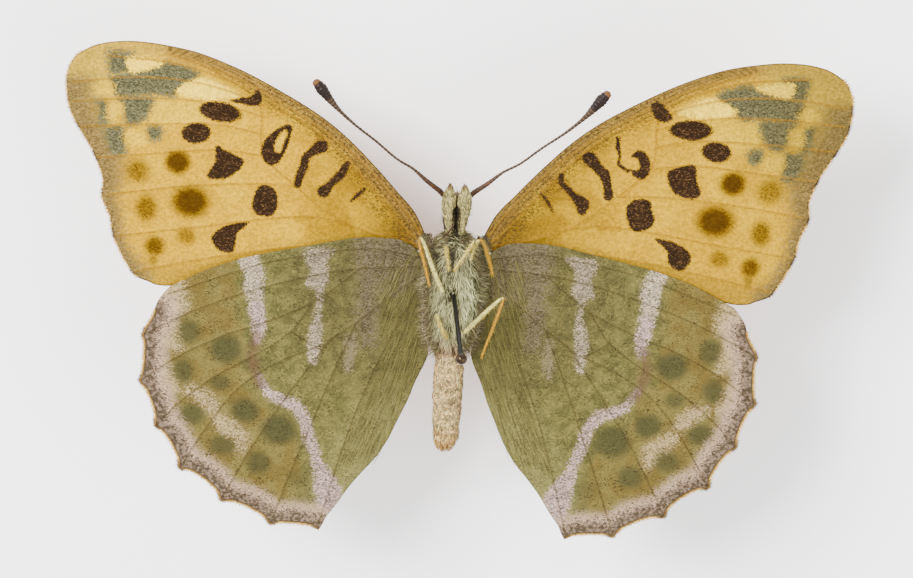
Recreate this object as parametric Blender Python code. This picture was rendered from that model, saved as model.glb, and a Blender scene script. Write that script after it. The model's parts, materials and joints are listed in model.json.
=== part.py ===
"""Pinned butterfly specimen, underside up: a spread silver-washed fritillary on a steel pin.

Frame: metres, +Z up. The origin is where the pin enters the pinning foam, so the foam's surface is
z = 0. The butterfly's head is towards +Y, and its left wings are towards +X.

Lengths below are in millimetres, in the specimen's own frame: x = 0 is the middle of the body,
y = 0 is where the pin goes in, and z is the height above the foam. mm() turns them into metres and
moves the body sideways onto the pin, which leans a little.
"""
import bpy
import bmesh
from math import cos, hypot, pi, radians, sin, sqrt, tan
from mathutils import Vector
from mathutils.geometry import delaunay_2d_cdt

# ---- driving dimensions (mm, degrees) ----
PIN_LENGTH = 38.0          # standard insect pin
PIN_R = 0.20               # No. 1 pin, 0.40 mm thick
PIN_HEAD_R = 0.49
PIN_IN_FOAM = 7.0          # how far the point goes below the foam's surface
PIN_POINT = 1.6            # length of the tapered point
PIN_LEAN = radians(2.75)   # towards +X, going up
PIN_CLEARANCE = 0.05       # between the shaft and what it goes through
PIN_TIP_R = 0.03           # the point's blunt end
SOCKET_TOP = 0.02          # top of the head's socket, above the head's middle
END_DOME = 0.4             # rise of a rod's rounded end, as a share of its radius

THORAX_TOP = 17.55
PIN_OFF_CENTRE = 0.10      # the pin goes in this far to the left of the body's middle
BORE_DEPTH = 10.0          # how far below and above the thorax's top the bore is cut
BORE_ABOVE = 4.0
WING_Z = 13.5              # middle of the forewing's sheet at its root
WING_THICK = 0.14
WING_STEP = 0.42           # the hindwing lies this much above the forewing
WING_ARCH = 0.45           # rise of the sheet half way out
WING_REACH = 34.0          # middle of the body to the wing tip
VEIN_RISE = 0.09           # a vein's crest above the sheet
VEIN_FLANK = 0.42          # half width of a vein's ridge
VEIN_STEP = 2.4            # spacing of points along a vein's crest
VEIN_MERGE = 0.5           # two veins closer than this share a point
RIM_STEP = 0.95            # spacing of points along the outline
SCALLOP_STEPS = 6          # points in the hollow between two teeth

BODY_X = THORAX_TOP * tan(PIN_LEAN) - PIN_OFF_CENTRE
FOREWING_TURN = radians(0.4)     # how far each pair of wings was set off square
HINDWING_TURN = radians(0.1)

# ---- wing outlines and veins, left side ----
FOREWING_EDGE = [
    (2.4, 3.7), (3.5, 6.1), (4.9, 7.8), (6.85, 10.1), (9.4, 12.8), (11.85, 14.85), (15.2, 16.95),
    (18.6, 18.75), (22.3, 20.2), (26.1, 20.9), (28.9, 20.95), (31.3, 20.4), (32.9, 19.2), (33.45, 17.9),
    (33.5, 16.2), (33.2, 14.5), (32.5, 13.0), (31.5, 11.3), (30.8, 9.8), (30.3, 8.1), (30.4, 6.6),
    (29.7, 4.8), (29.4, 3.1), (28.8, 1.6), (28.1, 0.3), (27.4, -0.7), (26.2, -1.2), (24.6, -1.5),
    (20.0, -0.5), (14.0, 0.9), (8.5, 1.9), (4.5, 2.4), (2.4, 2.7)]
HINDWING_COSTA = [
    (2.6, 1.6), (3.3, 2.8), (4.6, 3.6), (6.2, 3.8), (8.8, 3.7), (12.0, 3.0), (15.5, 2.2), (18.4, 1.4),
    (21.2, 0.3), (23.0, -0.7), (24.5, -1.6), (25.3, -2.7), (25.9, -4.4)]
HINDWING_TEETH = [(26.7, -6.0), (26.9, -10.6), (25.5, -14.8), (23.3, -18.8), (19.5, -21.8),
                  (15.1, -23.9), (10.8, -24.2)]
HINDWING_HOLLOWS = [0.25, 0.45, 0.55, 0.7, 0.6, 0.35]   # depth of each hollow between two teeth
HINDWING_MIDDLE = (12.0, -10.0)                         # the hollows are cut towards this point
HINDWING_INNER = [
    (10.2, -23.0), (9.2, -21.5), (8.3, -20.0), (7.1, -18.4), (6.0, -17.0), (5.0, -15.2), (4.3, -13.5),
    (3.5, -11.6), (2.9, -9.8), (2.15, -8.0), (1.85, -7.0), (2.0, -6.0), (2.4, -5.0), (2.55, -3.5),
    (2.6, -1.0)]

FOREWING_VEINS = [
    [(3.4, 4.4), (8.2, 10.7), (12.4, 14.1), (18.5, 17.8), (25.0, 20.0)],
    [(13.6, 14.4), (16.9, 16.5), (20.2, 18.0), (24.5, 19.2), (30.0, 19.6)],
    [(3.9, 3.9), (6.7, 7.6), (10.3, 11.8), (13.6, 14.4), (17.1, 15.8), (20.2, 17.0), (24.0, 17.7),
     (28.5, 17.7), (33.1, 17.0)],
    [(16.8, 14.6), (19.5, 15.4), (23.3, 15.9), (28.0, 15.8), (33.0, 15.3)],
    [(16.9, 13.0), (20.5, 13.7), (26.5, 13.5), (32.2, 13.0)],
    [(16.6, 11.0), (20.6, 11.4), (26.0, 10.8), (31.0, 10.2)],
    [(3.5, 3.2), (6.5, 3.9), (9.2, 4.9), (11.4, 6.2), (13.8, 8.3), (15.5, 9.8), (16.6, 11.0),
     (16.9, 13.0), (16.8, 14.6), (17.1, 15.8)],
    [(13.8, 8.3), (17.5, 8.4), (23.4, 7.9), (30.0, 6.8)],
    [(9.2, 4.9), (12.3, 5.5), (16.7, 5.1), (22.0, 4.2), (29.0, 3.0)],
    [(3.5, 2.9), (8.0, 2.9), (14.0, 2.6), (21.2, 1.3), (27.4, -0.2)]]
HINDWING_VEINS = [
    [(3.4, 2.0), (7.0, 2.8), (11.0, 2.3), (16.0, 1.2), (20.3, -0.4), (24.6, -2.2)],
    [(3.3, 1.2), (8.0, 0.9), (12.5, 0.0), (17.5, -1.6), (22.0, -3.5), (26.3, -5.9)],
    [(8.0, 0.9), (12.0, -2.4), (16.2, -4.5), (19.5, -5.8), (23.5, -8.0), (26.4, -10.3)],
    [(12.0, -2.4), (13.8, -5.2), (16.6, -7.4), (20.3, -9.8), (23.3, -12.4), (25.1, -14.5)],
    [(11.5, -6.6), (15.2, -8.4), (18.4, -11.0), (21.0, -14.8), (22.9, -18.3)],
    [(3.2, 0.4), (6.0, -2.3), (8.2, -4.2), (10.2, -5.7), (11.5, -6.6), (13.8, -5.2)],
    [(10.2, -5.7), (13.5, -10.6), (16.7, -16.0), (19.2, -21.2)],
    [(8.2, -4.2), (10.2, -9.5), (12.0, -14.6), (13.4, -18.6), (14.9, -23.2)],
    [(3.2, -0.6), (5.4, -6.0), (7.7, -12.0), (9.3, -17.5), (10.9, -23.4)],
    [(3.2, -1.6), (4.2, -7.0), (5.5, -12.0), (7.4, -17.2)]]

# ---- body sections, front to back: y, half width, middle height, half height ----
HEAD_SECTIONS = [
    (8.05, 0.36, 13.9, 0.40), (7.9, 0.62, 13.9, 0.72), (7.5, 0.80, 13.9, 0.95), (7.0, 0.88, 13.9, 1.05),
    (6.3, 0.88, 13.9, 1.05), (5.7, 0.78, 14.0, 0.95), (5.25, 0.60, 14.1, 0.75), (5.0, 0.40, 14.2, 0.45)]
EYE = (0.52, 6.95, 13.9)
EYE_R = 0.64
THORAX_SECTIONS = [
    (4.75, 0.60, 14.5, 0.60), (4.6, 1.10, 14.5, 1.20), (4.1, 1.70, 14.5, 2.00), (3.2, 2.15, 14.6, 2.55),
    (1.8, 2.42, 14.6, 2.85), (0.2, 2.50, 14.6, 2.95), (-1.6, 2.48, 14.6, 2.88), (-3.3, 2.30, 14.6, 2.55),
    (-4.7, 1.95, 14.5, 2.05), (-5.7, 1.55, 14.4, 1.55), (-6.15, 1.25, 14.4, 1.25)]
ABDOMEN_FRONT, ABDOMEN_BACK, ABDOMEN_Z = -6.22, -15.75, 14.4
ABDOMEN_SEGMENTS = 7       # segments that show
ABDOMEN_R = 1.45           # half width at the front, which tapers by ABDOMEN_TAPER to the tail
ABDOMEN_TAPER = 0.22
ABDOMEN_TAIL = 0.80        # from here on, as a share of the length, the tail rounds off
ABDOMEN_GROOVE = 0.07      # depth of the groove between two segments

ANTENNA = [(0.99, 7.70, 13.9), (1.45, 8.22, 13.9), (2.6, 9.15, 14.0), (3.9, 10.3, 14.05),
           (5.3, 11.15, 14.1), (7.1, 12.7, 14.15), (8.9, 14.1, 14.2), (10.3, 15.4, 14.25),
           (11.2, 16.45, 14.3), (11.9, 17.35, 14.3), (12.5, 18.05, 14.3)]
ANTENNA_R = [0.14, 0.24, 0.20, 0.12, 0.11, 0.11, 0.12, 0.17, 0.34, 0.52, 0.32]

# ---- legs: points with a radius each, left and right as they lie on this specimen ----
LEGS = {
    "foreleg_left": [
        ((1.6, 5.0, 16.9), 0.13), ((0.9, 4.0, 17.6), 0.17), ((0.0, 2.7, 18.0), 0.14)],
    "foreleg_right": [
        ((-0.8, 4.5, 16.95), 0.12), ((-0.65, 3.8, 17.5), 0.16), ((-0.45, 2.6, 17.85), 0.12)],
    "middle_leg_left": [
        ((1.35, 3.3, 17.15), 0.17), ((1.75, 4.7, 16.6), 0.16), ((2.35, 4.75, 16.2), 0.15),
        ((2.9, 3.2, 15.9), 0.17), ((3.4, 1.3, 15.6), 0.13)],
    "middle_leg_right": [
        ((-0.85, 0.5, 17.95), 0.22), ((-1.95, 2.75, 17.3), 0.24), ((-2.75, 4.7, 16.6), 0.18),
        ((-3.15, 4.75, 16.35), 0.16), ((-2.6, 2.8, 16.55), 0.19), ((-2.0, 0.6, 16.95), 0.12)],
    "hind_leg_left": [
        ((1.15, -3.5, 17.15), 0.24), ((2.7, -1.6, 17.4), 0.24), ((4.15, 0.0, 17.5), 0.17),
        ((4.3, -0.35, 17.4), 0.15), ((3.55, -3.2, 16.9), 0.16), ((2.7, -6.2, 16.4), 0.12)],
    "hind_leg_right": [
        ((-0.35, -4.0, 17.2), 0.18), ((-0.85, -2.9, 17.65), 0.20), ((-1.35, -1.7, 17.55), 0.16)]}
PALP = [((0.42, 5.05, 15.75), 0.30), ((0.50, 6.2, 15.72), 0.43), ((0.64, 7.4, 15.70), 0.58),
        ((0.68, 8.3, 15.66), 0.59), ((0.66, 8.9, 15.60), 0.38), ((0.62, 9.45, 15.50), 0.10)]
PROBOSCIS = [((-0.14, 6.4, 16.45), 0.07), ((-0.55, 5.6, 16.60), 0.10), ((-1.15, 4.9, 16.30), 0.08)]


def mm(x, y, z):
    """A point in the specimen's frame, in metres in the row's frame."""
    return Vector(((x + BODY_X) * 0.001, y * 0.001, z * 0.001))


def pin_point(z):
    """The point on the pin's axis at a height in mm."""
    return Vector((z * tan(PIN_LEAN), 0.0, z)) * 0.001


# ---- materials ----
def material(name, colour, roughness):
    mat = bpy.data.materials.new(name)
    mat.use_nodes = True
    shader = mat.node_tree.nodes["Principled BSDF"]
    shader.inputs["Base Color"].default_value = (*colour, 1.0)
    shader.inputs["Roughness"].default_value = roughness
    mat.diffuse_color = (*colour, 1.0)
    return mat


def black_enamelled_steel():
    return material("black_enamelled_steel", (0.012, 0.012, 0.013), 0.28)


def dark_bronze_head():
    return material("dark_bronze_head", (0.10, 0.075, 0.05), 0.30)


def forewing_gold():
    return material("forewing_gold", (0.62, 0.40, 0.12), 0.75)


def hindwing_green():
    return material("hindwing_green", (0.25, 0.24, 0.09), 0.75)


def pale_body_fur():
    return material("pale_body_fur", (0.55, 0.55, 0.43), 0.9)


def dark_chitin():
    return material("dark_chitin", (0.07, 0.04, 0.025), 0.5)


def buff_abdomen():
    return material("buff_abdomen", (0.52, 0.43, 0.33), 0.85)


def leg_straw():
    return material("leg_straw", (0.62, 0.50, 0.28), 0.7)


# ---- shared shapes ----
def node(name, verts, faces, mat):
    """A named sub-part, with its faces turned outward."""
    mesh = bpy.data.meshes.new(name)
    mesh.from_pydata(verts, [], faces)
    bm = bmesh.new()
    bm.from_mesh(mesh)
    bmesh.ops.recalc_face_normals(bm, faces=bm.faces)
    bm.to_mesh(mesh)
    bm.free()
    obj = bpy.data.objects.new(name, mesh)
    bpy.context.collection.objects.link(obj)
    mesh.materials.append(mat)
    return obj


def spline_weights(t):
    """Catmull-Rom weights of the four points around a stretch, t from 0 to 1 along it."""
    return (0.5 * (-t + 2 * t ** 2 - t ** 3), 0.5 * (2 - 5 * t ** 2 + 3 * t ** 3),
            0.5 * (t + 4 * t ** 2 - 3 * t ** 3), 0.5 * (-t ** 2 + t ** 3))


def curve_through(points, step, closed=False):
    """2-D points every `step` or so along a smooth curve through the given ones."""
    n = len(points)
    out = []
    for i in range(n if closed else n - 1):
        around = [i + k for k in (-1, 0, 1, 2)]
        around = [k % n for k in around] if closed else [min(max(k, 0), n - 1) for k in around]
        four = [points[k] for k in around]
        length = hypot(four[2][0] - four[1][0], four[2][1] - four[1][1])
        parts = max(1, round(length / step))
        for j in range(parts):
            weights = spline_weights(j / parts)
            out.append(tuple(sum(w * p[axis] for w, p in zip(weights, four)) for axis in (0, 1)))
    if not closed:
        out.append(tuple(points[-1]))
    return out


def smooth_rod(points, radii, parts):
    """Points and radii along a bent rod, each stretch of its line cut into `parts`."""
    out, sizes = [], []
    last = len(points) - 1
    for i in range(last):
        four = [points[min(max(i + k, 0), last)] for k in (-1, 0, 1, 2)]
        for j in range(parts):
            t = j / parts
            out.append(sum((w * p for w, p in zip(spline_weights(t), four)), Vector((0, 0, 0))))
            sizes.append(radii[i] + (radii[i + 1] - radii[i]) * t)
    return out + [points[-1]], sizes + [radii[-1]]


def circle(middle, across, over, radius, sides):
    """Points in metres around a middle, with the radius in mm."""
    angles = [2 * pi * i / sides for i in range(sides)]
    return [middle + (across * cos(a) + over * sin(a)) * radius * 0.001 for a in angles]


def loft(name, rings, mat, ends_flat=False):
    """A closed body through rings of points; each end is closed by a fan onto its middle."""
    n = len(rings[0])
    verts = [p for ring in rings for p in ring]
    faces = []
    for r in range(len(rings) - 1):
        for i in range(n):
            j = (i + 1) % n
            faces.append((r * n + i, r * n + j, (r + 1) * n + j, (r + 1) * n + i))
    for r, step in ((0, -1), (len(rings) - 1, 1)):
        middle = sum(rings[r], Vector()) / n
        if not ends_flat:
            outward = (middle - sum(rings[r - step], Vector()) / n).normalized()
            middle += outward * (rings[r][0] - middle).length * END_DOME
        verts.append(middle)
        faces += [(r * n + i, r * n + (i + 1) % n, len(verts) - 1) for i in range(n)]
    return node(name, verts, faces, mat)


def rod(name, points, radii, mat, sides):
    """A rod of changing radius along a bent line of points in metres, radii in mm."""
    rings = []
    for i, p in enumerate(points):
        along = points[min(i + 1, len(points) - 1)] - points[max(i - 1, 0)]
        across = along.cross(Vector((0, 0, 1))).normalized()
        over = across.cross(along).normalized()
        rings.append(circle(p, across, over, radii[i], sides))
    return loft(name, rings, mat)


def body_ring(y, half_w, z, half_h, sides):
    angles = [2 * pi * i / sides for i in range(sides)]
    return [mm(half_w * cos(a), y, z + half_h * sin(a)) for a in angles]


def combine(target, tool, operation):
    """Add a second solid to a node or cut it away, and drop the second solid."""
    change = target.modifiers.new("combine", 'BOOLEAN')
    change.operation = operation
    change.solver = 'EXACT'
    change.object = tool
    bpy.context.view_layer.objects.active = target
    bpy.ops.object.modifier_apply(modifier="combine")
    bpy.data.objects.remove(tool)


# ---- wings ----
def scalloped(teeth, hollows, inward):
    """The edge from the first tooth to the last, hollowed between each pair towards `inward`."""
    out = []
    for (ax, ay), (bx, by), depth in zip(teeth, teeth[1:], hollows):
        to_x = inward[0] - (ax + bx) / 2
        to_y = inward[1] - (ay + by) / 2
        length = hypot(to_x, to_y)
        for j in range(SCALLOP_STEPS):
            t = j / SCALLOP_STEPS
            dip = depth * sqrt(sin(pi * t)) / length
            out.append((ax + (bx - ax) * t + to_x * dip, ay + (by - ay) * t + to_y * dip))
    out.append(teeth[-1])
    return out


def sheet_z(x):
    """Height of the forewing's sheet: it rises gently half way out."""
    return WING_Z + WING_ARCH * sin(pi * min(max(abs(x) / WING_REACH, 0.0), 1.0))


def far_from(p, others, room):
    return all(hypot(p[0] - q[0], p[1] - q[1]) > room for q in others)


def vein_crests(points, veins):
    """Adds the crest points to `points`; returns their places, the edges between and the flanks."""
    crest, edges, flanks = [], [], []
    for line in veins:
        path = curve_through(line, VEIN_STEP)
        last = None
        for i, p in enumerate(path):
            near = [k for k in crest if not far_from(p, [points[k]], VEIN_MERGE)]
            if near:
                index = near[0]
            else:
                index = len(points)
                points.append(p)
                crest.append(index)
            if last is not None and last != index:
                edges.append((last, index))
            last = index
            (ax, ay), (bx, by) = path[max(i - 1, 0)], path[min(i + 1, len(path) - 1)]
            reach = VEIN_FLANK / hypot(bx - ax, by - ay)
            for side in (reach, -reach):
                flanks.append((p[0] - (by - ay) * side, p[1] + (bx - ax) * side))
    return crest, edges, flanks


def turned(x, y, angle):
    """A point of a wing, turned about the body's middle at the pin."""
    return x * cos(angle) - y * sin(angle), x * sin(angle) + y * cos(angle)


def wing(name, rim, veins, lift, turn, side, mat):
    """A thin wing with raised veins on both faces. side is 1 for left and -1 for right."""
    points = list(rim)
    edges = [(i, (i + 1) % len(rim)) for i in range(len(rim))]
    crest, vein_edges, flanks = vein_crests(points, veins)
    edges += vein_edges
    room = VEIN_FLANK * 0.9
    points += [p for k, p in enumerate(flanks)
               if far_from(p, points, room) and far_from(p, flanks[:k], room)]
    outline = [list(range(len(rim)))]
    flat, _, tris, source, _, _ = delaunay_2d_cdt([Vector(p) for p in points], edges, outline, 1, 1e-5)
    top, bottom = [], []
    for p, origin in zip(flat, source):
        z = sheet_z(p.x) + lift
        ridge = VEIN_RISE if set(crest).intersection(origin) else 0.0
        x, y = turned(side * p.x, p.y, turn)
        top.append(mm(x, y, z + WING_THICK / 2 + ridge))
        bottom.append(mm(x, y, z - WING_THICK / 2 - ridge / 2))
    n = len(flat)
    faces = [tuple(f) for f in tris] + [tuple(n + i for i in reversed(f)) for f in tris]
    sides = {pair for f in tris for pair in zip(f, list(f[1:]) + [f[0]])}
    faces += [(b, a, n + a, n + b) for a, b in sorted(sides) if (b, a) not in sides]
    return node(name, top + bottom, faces, mat)


def forewing(name, side, mat):
    rim = curve_through(FOREWING_EDGE, RIM_STEP, closed=True)
    return wing(name, rim, FOREWING_VEINS, 0.0, FOREWING_TURN, side, mat)


def hindwing(name, side, mat):
    front = curve_through(HINDWING_COSTA, RIM_STEP)
    outer = scalloped(HINDWING_TEETH, HINDWING_HOLLOWS, HINDWING_MIDDLE)
    inner = curve_through(HINDWING_INNER, RIM_STEP)
    rim = front + outer + inner
    return wing(name, rim, HINDWING_VEINS, WING_STEP, HINDWING_TURN, side, mat)


# ---- body ----
def thorax(mat):
    """The furred middle of the body, bored for the pin."""
    obj = loft("thorax", [body_ring(*s, 20) for s in THORAX_SECTIONS], mat, ends_flat=True)
    ends = [pin_point(THORAX_TOP - BORE_DEPTH), pin_point(THORAX_TOP + BORE_ABOVE)]
    radius = PIN_R + PIN_CLEARANCE
    combine(obj, rod("bore", ends, [radius, radius], mat, 12), 'DIFFERENCE')
    return obj


def abdomen(mat):
    """The tapering abdomen, with a shallow groove at the front of each segment."""
    rings = []
    steps = ABDOMEN_SEGMENTS * 3
    for i in range(steps + 1):
        t = i / steps
        tail = max(0.0, (t - ABDOMEN_TAIL) / (1.0 - ABDOMEN_TAIL))
        half_w = (ABDOMEN_R - ABDOMEN_TAPER * t) * (1.0 - 0.42 * tail ** 2)
        if i % 3 == 0:
            half_w -= ABDOMEN_GROOVE
        y = ABDOMEN_FRONT + (ABDOMEN_BACK - ABDOMEN_FRONT) * t
        rings.append(body_ring(y, half_w, ABDOMEN_Z, half_w * 0.93, 14))
    return loft("abdomen", rings, mat, ends_flat=True)


def head(mat):
    """The head capsule with a round compound eye grown on each side."""
    capsule = loft("head", [body_ring(*s, 16) for s in HEAD_SECTIONS], mat)
    x, y, z = EYE
    down = Vector((0, 1, 0))
    round_ = Vector((0, 0, 1))
    for side in (1, -1):
        rings = []
        for k in range(8):
            angle = pi * (k + 0.5) / 8
            middle = mm(side * (x + EYE_R * cos(angle)), y, z)
            rings.append(circle(middle, down, round_, EYE_R * sin(angle), 12))
        combine(capsule, loft("eye", rings, mat), 'UNION')
    return capsule


def antenna(name, side, mat):
    """A thin shaft that ends in a club."""
    points = [mm(side * x, y, z) for x, y, z in ANTENNA]
    return rod(name, *smooth_rod(points, ANTENNA_R, 3), mat, 8)


def palp(name, side, mat):
    points = [mm(side * x, y, z) for (x, y, z), _ in PALP]
    return rod(name, *smooth_rod(points, [r for _, r in PALP], 2), mat, 10)


def leg(name, mat):
    points = [mm(*p) for p, _ in LEGS[name]]
    return rod(name, *smooth_rod(points, [r for _, r in LEGS[name]], 2), mat, 7)


def proboscis(mat):
    points = [mm(*p) for p, _ in PROBOSCIS]
    return rod("proboscis", *smooth_rod(points, [r for _, r in PROBOSCIS], 2), mat, 6)


# ---- pin ----
def pin_head_z():
    """Height of the middle of the pin's round head, in mm."""
    return (PIN_LENGTH - PIN_HEAD_R) * cos(PIN_LEAN) - PIN_IN_FOAM


def pin_shaft(mat):
    """The shaft, with its tapered point in the foam and its top inside the head's socket."""
    low = -PIN_IN_FOAM
    profile = [(low, PIN_TIP_R), (low + PIN_POINT / 2, PIN_R * 0.62), (low + PIN_POINT, PIN_R),
               (0.0, PIN_R), (THORAX_TOP, PIN_R), (pin_head_z() - 0.1, PIN_R)]
    points = [pin_point(z) for z, _ in profile]
    return rod("pin_shaft", points, [r for _, r in profile], mat, 12)


def pin_head(mat):
    """The round head, with the socket that the shaft enters from below."""
    along = pin_point(1000.0).normalized()
    across = Vector((0, 1, 0))
    over = along.cross(across)
    socket = PIN_R + PIN_CLEARANCE
    low = -sqrt(PIN_HEAD_R ** 2 - socket ** 2)
    profile = [(socket, SOCKET_TOP), (socket, low)]
    for k in range(1, 9):
        angle = -pi / 2 + (pi - 0.12) * k / 8
        if PIN_HEAD_R * sin(angle) > low:
            profile.append((PIN_HEAD_R * cos(angle), PIN_HEAD_R * sin(angle)))
    middle = pin_point(pin_head_z())
    rings = [circle(middle + along * height * 0.001, across, over, radius, 14)
             for radius, height in profile]
    return loft("pin_head", rings, mat, ends_flat=True)


def build():
    for obj in list(bpy.data.objects):
        bpy.data.objects.remove(obj)

    pin_shaft(black_enamelled_steel())
    pin_head(dark_bronze_head())

    dark = dark_chitin()
    fur = pale_body_fur()
    head(dark)
    thorax(fur)
    abdomen(buff_abdomen())
    proboscis(dark)

    gold = forewing_gold()
    green = hindwing_green()
    for label, side in (("left", 1), ("right", -1)):
        forewing("forewing_" + label, side, gold)
        hindwing("hindwing_" + label, side, green)
        antenna("antenna_" + label, side, dark)
        palp("palp_" + label, side, fur)

    straw = leg_straw()
    for name in LEGS:
        leg(name, straw)


build()
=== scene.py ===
"""Pinned butterfly specimen: a spread silver-washed fritillary, underside up, on a steel insect pin.

Lengths are in millimetres in the specimen's own frame until row() turns them into the frame of the
CAD model. u is the distance from the middle of the body towards a wing's tip, so one drawing serves
both sides, and v runs towards the head.
"""

import json
from math import cos, pi, radians, sin

import bmesh
import bpy
import numpy as np
from mathutils import Matrix, Vector
from mathutils.geometry import delaunay_2d_cdt


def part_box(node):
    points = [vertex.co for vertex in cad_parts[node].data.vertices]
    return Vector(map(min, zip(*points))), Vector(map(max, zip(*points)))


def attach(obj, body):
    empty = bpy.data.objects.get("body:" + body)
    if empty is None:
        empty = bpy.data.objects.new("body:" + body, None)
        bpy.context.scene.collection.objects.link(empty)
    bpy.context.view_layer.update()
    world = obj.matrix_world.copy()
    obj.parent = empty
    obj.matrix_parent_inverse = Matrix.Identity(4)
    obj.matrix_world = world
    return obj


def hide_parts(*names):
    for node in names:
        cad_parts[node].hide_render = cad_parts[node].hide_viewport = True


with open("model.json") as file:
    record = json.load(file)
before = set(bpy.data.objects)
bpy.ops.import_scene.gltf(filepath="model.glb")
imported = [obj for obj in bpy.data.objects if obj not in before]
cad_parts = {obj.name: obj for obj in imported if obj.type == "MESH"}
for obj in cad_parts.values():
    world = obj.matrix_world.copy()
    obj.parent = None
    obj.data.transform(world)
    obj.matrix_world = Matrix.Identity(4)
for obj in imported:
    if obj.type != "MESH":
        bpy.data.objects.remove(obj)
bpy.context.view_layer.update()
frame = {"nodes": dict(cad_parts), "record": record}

MM = 0.001
SIDES = {"left": 1, "right": -1}
AXIS_X = (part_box("thorax")[0].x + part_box("thorax")[1].x) / 2 / MM     # the middle of the body

# ---- wings: mesh ----
WING_GRID = 0.17        # spacing of the surface's points
WING_THICK = 0.09
RIM_TAPER = 0.3         # how far from its rim the sheet begins to thin
VEIN_HEIGHT = 0.075
VEIN_WIDTH = 0.13
UPPER_RIDGE = 0.6       # a vein's height on the upper side, as a share of its height on the underside
FOLD_DEPTH = 0.10       # sag of the membrane between two veins
SCALE_WIDE, SCALE_LONG = 0.075, 0.12    # one wing scale
FAR = 9.0               # fields further than this from their mark stay at this value
WING_TURN = {"forewing": radians(0.4), "hindwing": radians(0.1)}    # each pair was set a little askew
MARKS_OUT = {"left": 0.1, "right": -0.1}    # how much further out a side's own marks lie than drawn
APEX_MARKS_OUT = {"left": -0.8, "right": -0.1}
FOREWING_SHADE = {"left": 0.13, "right": 0.0}    # painted shade: how much darker and browner a forewing is, at its root
TIP_SHADE = 2.2                                  # and how many times more at its tip

# ---- veins, u and v ----
FOREWING_VEINS = [
    [(2.6, 3.6), (4.6, 6.6), (8.2, 10.7), (12.4, 14.1), (18.5, 17.8), (25.0, 20.0)],
    [(13.6, 14.4), (16.9, 16.5), (20.2, 18.0), (24.5, 19.2), (30.0, 19.6)],
    [(2.8, 3.5), (3.9, 4.2), (6.7, 7.6), (10.3, 11.8), (13.6, 14.4), (17.1, 15.8), (20.2, 17.0),
     (24.0, 17.7), (28.5, 17.7), (33.1, 17.0)],
    [(16.8, 14.6), (19.5, 15.4), (23.3, 15.9), (28.0, 15.8), (33.0, 15.3)],
    [(16.9, 13.0), (20.5, 13.7), (26.5, 13.5), (32.2, 13.0)],
    [(16.6, 11.0), (20.6, 11.4), (26.0, 10.8), (31.0, 10.2)],
    [(2.8, 3.1), (6.5, 3.9), (9.2, 4.9), (11.4, 6.2), (13.8, 8.3), (15.5, 9.8), (16.6, 11.0),
     (16.9, 13.0), (16.8, 14.6), (17.1, 15.8)],
    [(13.8, 8.3), (17.5, 8.4), (23.4, 7.9), (30.0, 6.8)],
    [(9.2, 4.9), (12.3, 5.5), (16.7, 5.1), (22.0, 4.2), (29.2, 3.0)],
    [(2.8, 2.9), (8.0, 2.9), (14.0, 2.6), (21.2, 1.3), (27.4, -0.2)]]
HINDWING_VEINS = [
    [(2.8, 2.0), (7.0, 2.8), (11.0, 2.3), (16.0, 1.2), (20.3, -0.4), (24.6, -2.2)],
    [(2.8, 1.2), (8.0, 0.9), (12.5, 0.0), (17.5, -1.6), (22.0, -3.5), (26.5, -6.0)],
    [(8.0, 0.9), (12.0, -2.4), (16.2, -4.5), (19.5, -5.8), (23.5, -8.0), (26.7, -10.5)],
    [(12.0, -2.4), (13.8, -5.2), (16.6, -7.4), (20.3, -9.8), (23.3, -12.4), (25.3, -14.7)],
    [(11.5, -6.6), (15.2, -8.4), (18.4, -11.0), (21.0, -14.8), (23.1, -18.6)],
    [(2.9, 0.4), (6.0, -2.3), (8.2, -4.2), (10.2, -5.7), (11.5, -6.6), (13.8, -5.2)],
    [(10.2, -5.7), (13.5, -10.6), (16.7, -16.0), (19.4, -21.5)],
    [(8.2, -4.2), (10.2, -9.5), (12.0, -14.6), (13.4, -18.6), (15.0, -23.5)],
    [(2.9, -0.6), (5.4, -6.0), (7.7, -12.0), (9.3, -17.5), (10.9, -23.8)],
    [(2.9, -1.6), (4.2, -7.0), (5.5, -12.0), (7.4, -17.2)]]

# ---- outer margins: from, to (u and v), going round the wing from the front ----
FOREWING_APEX, FOREWING_TORNUS, FOREWING_ROOT = (32.4, 19.7), (27.0, -1.0), (2.4, 3.2)
HINDWING_APEX, HINDWING_TAIL, HINDWING_ROOT = (25.6, -3.8), (10.8, -24.2), (2.6, 1.6)

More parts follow.
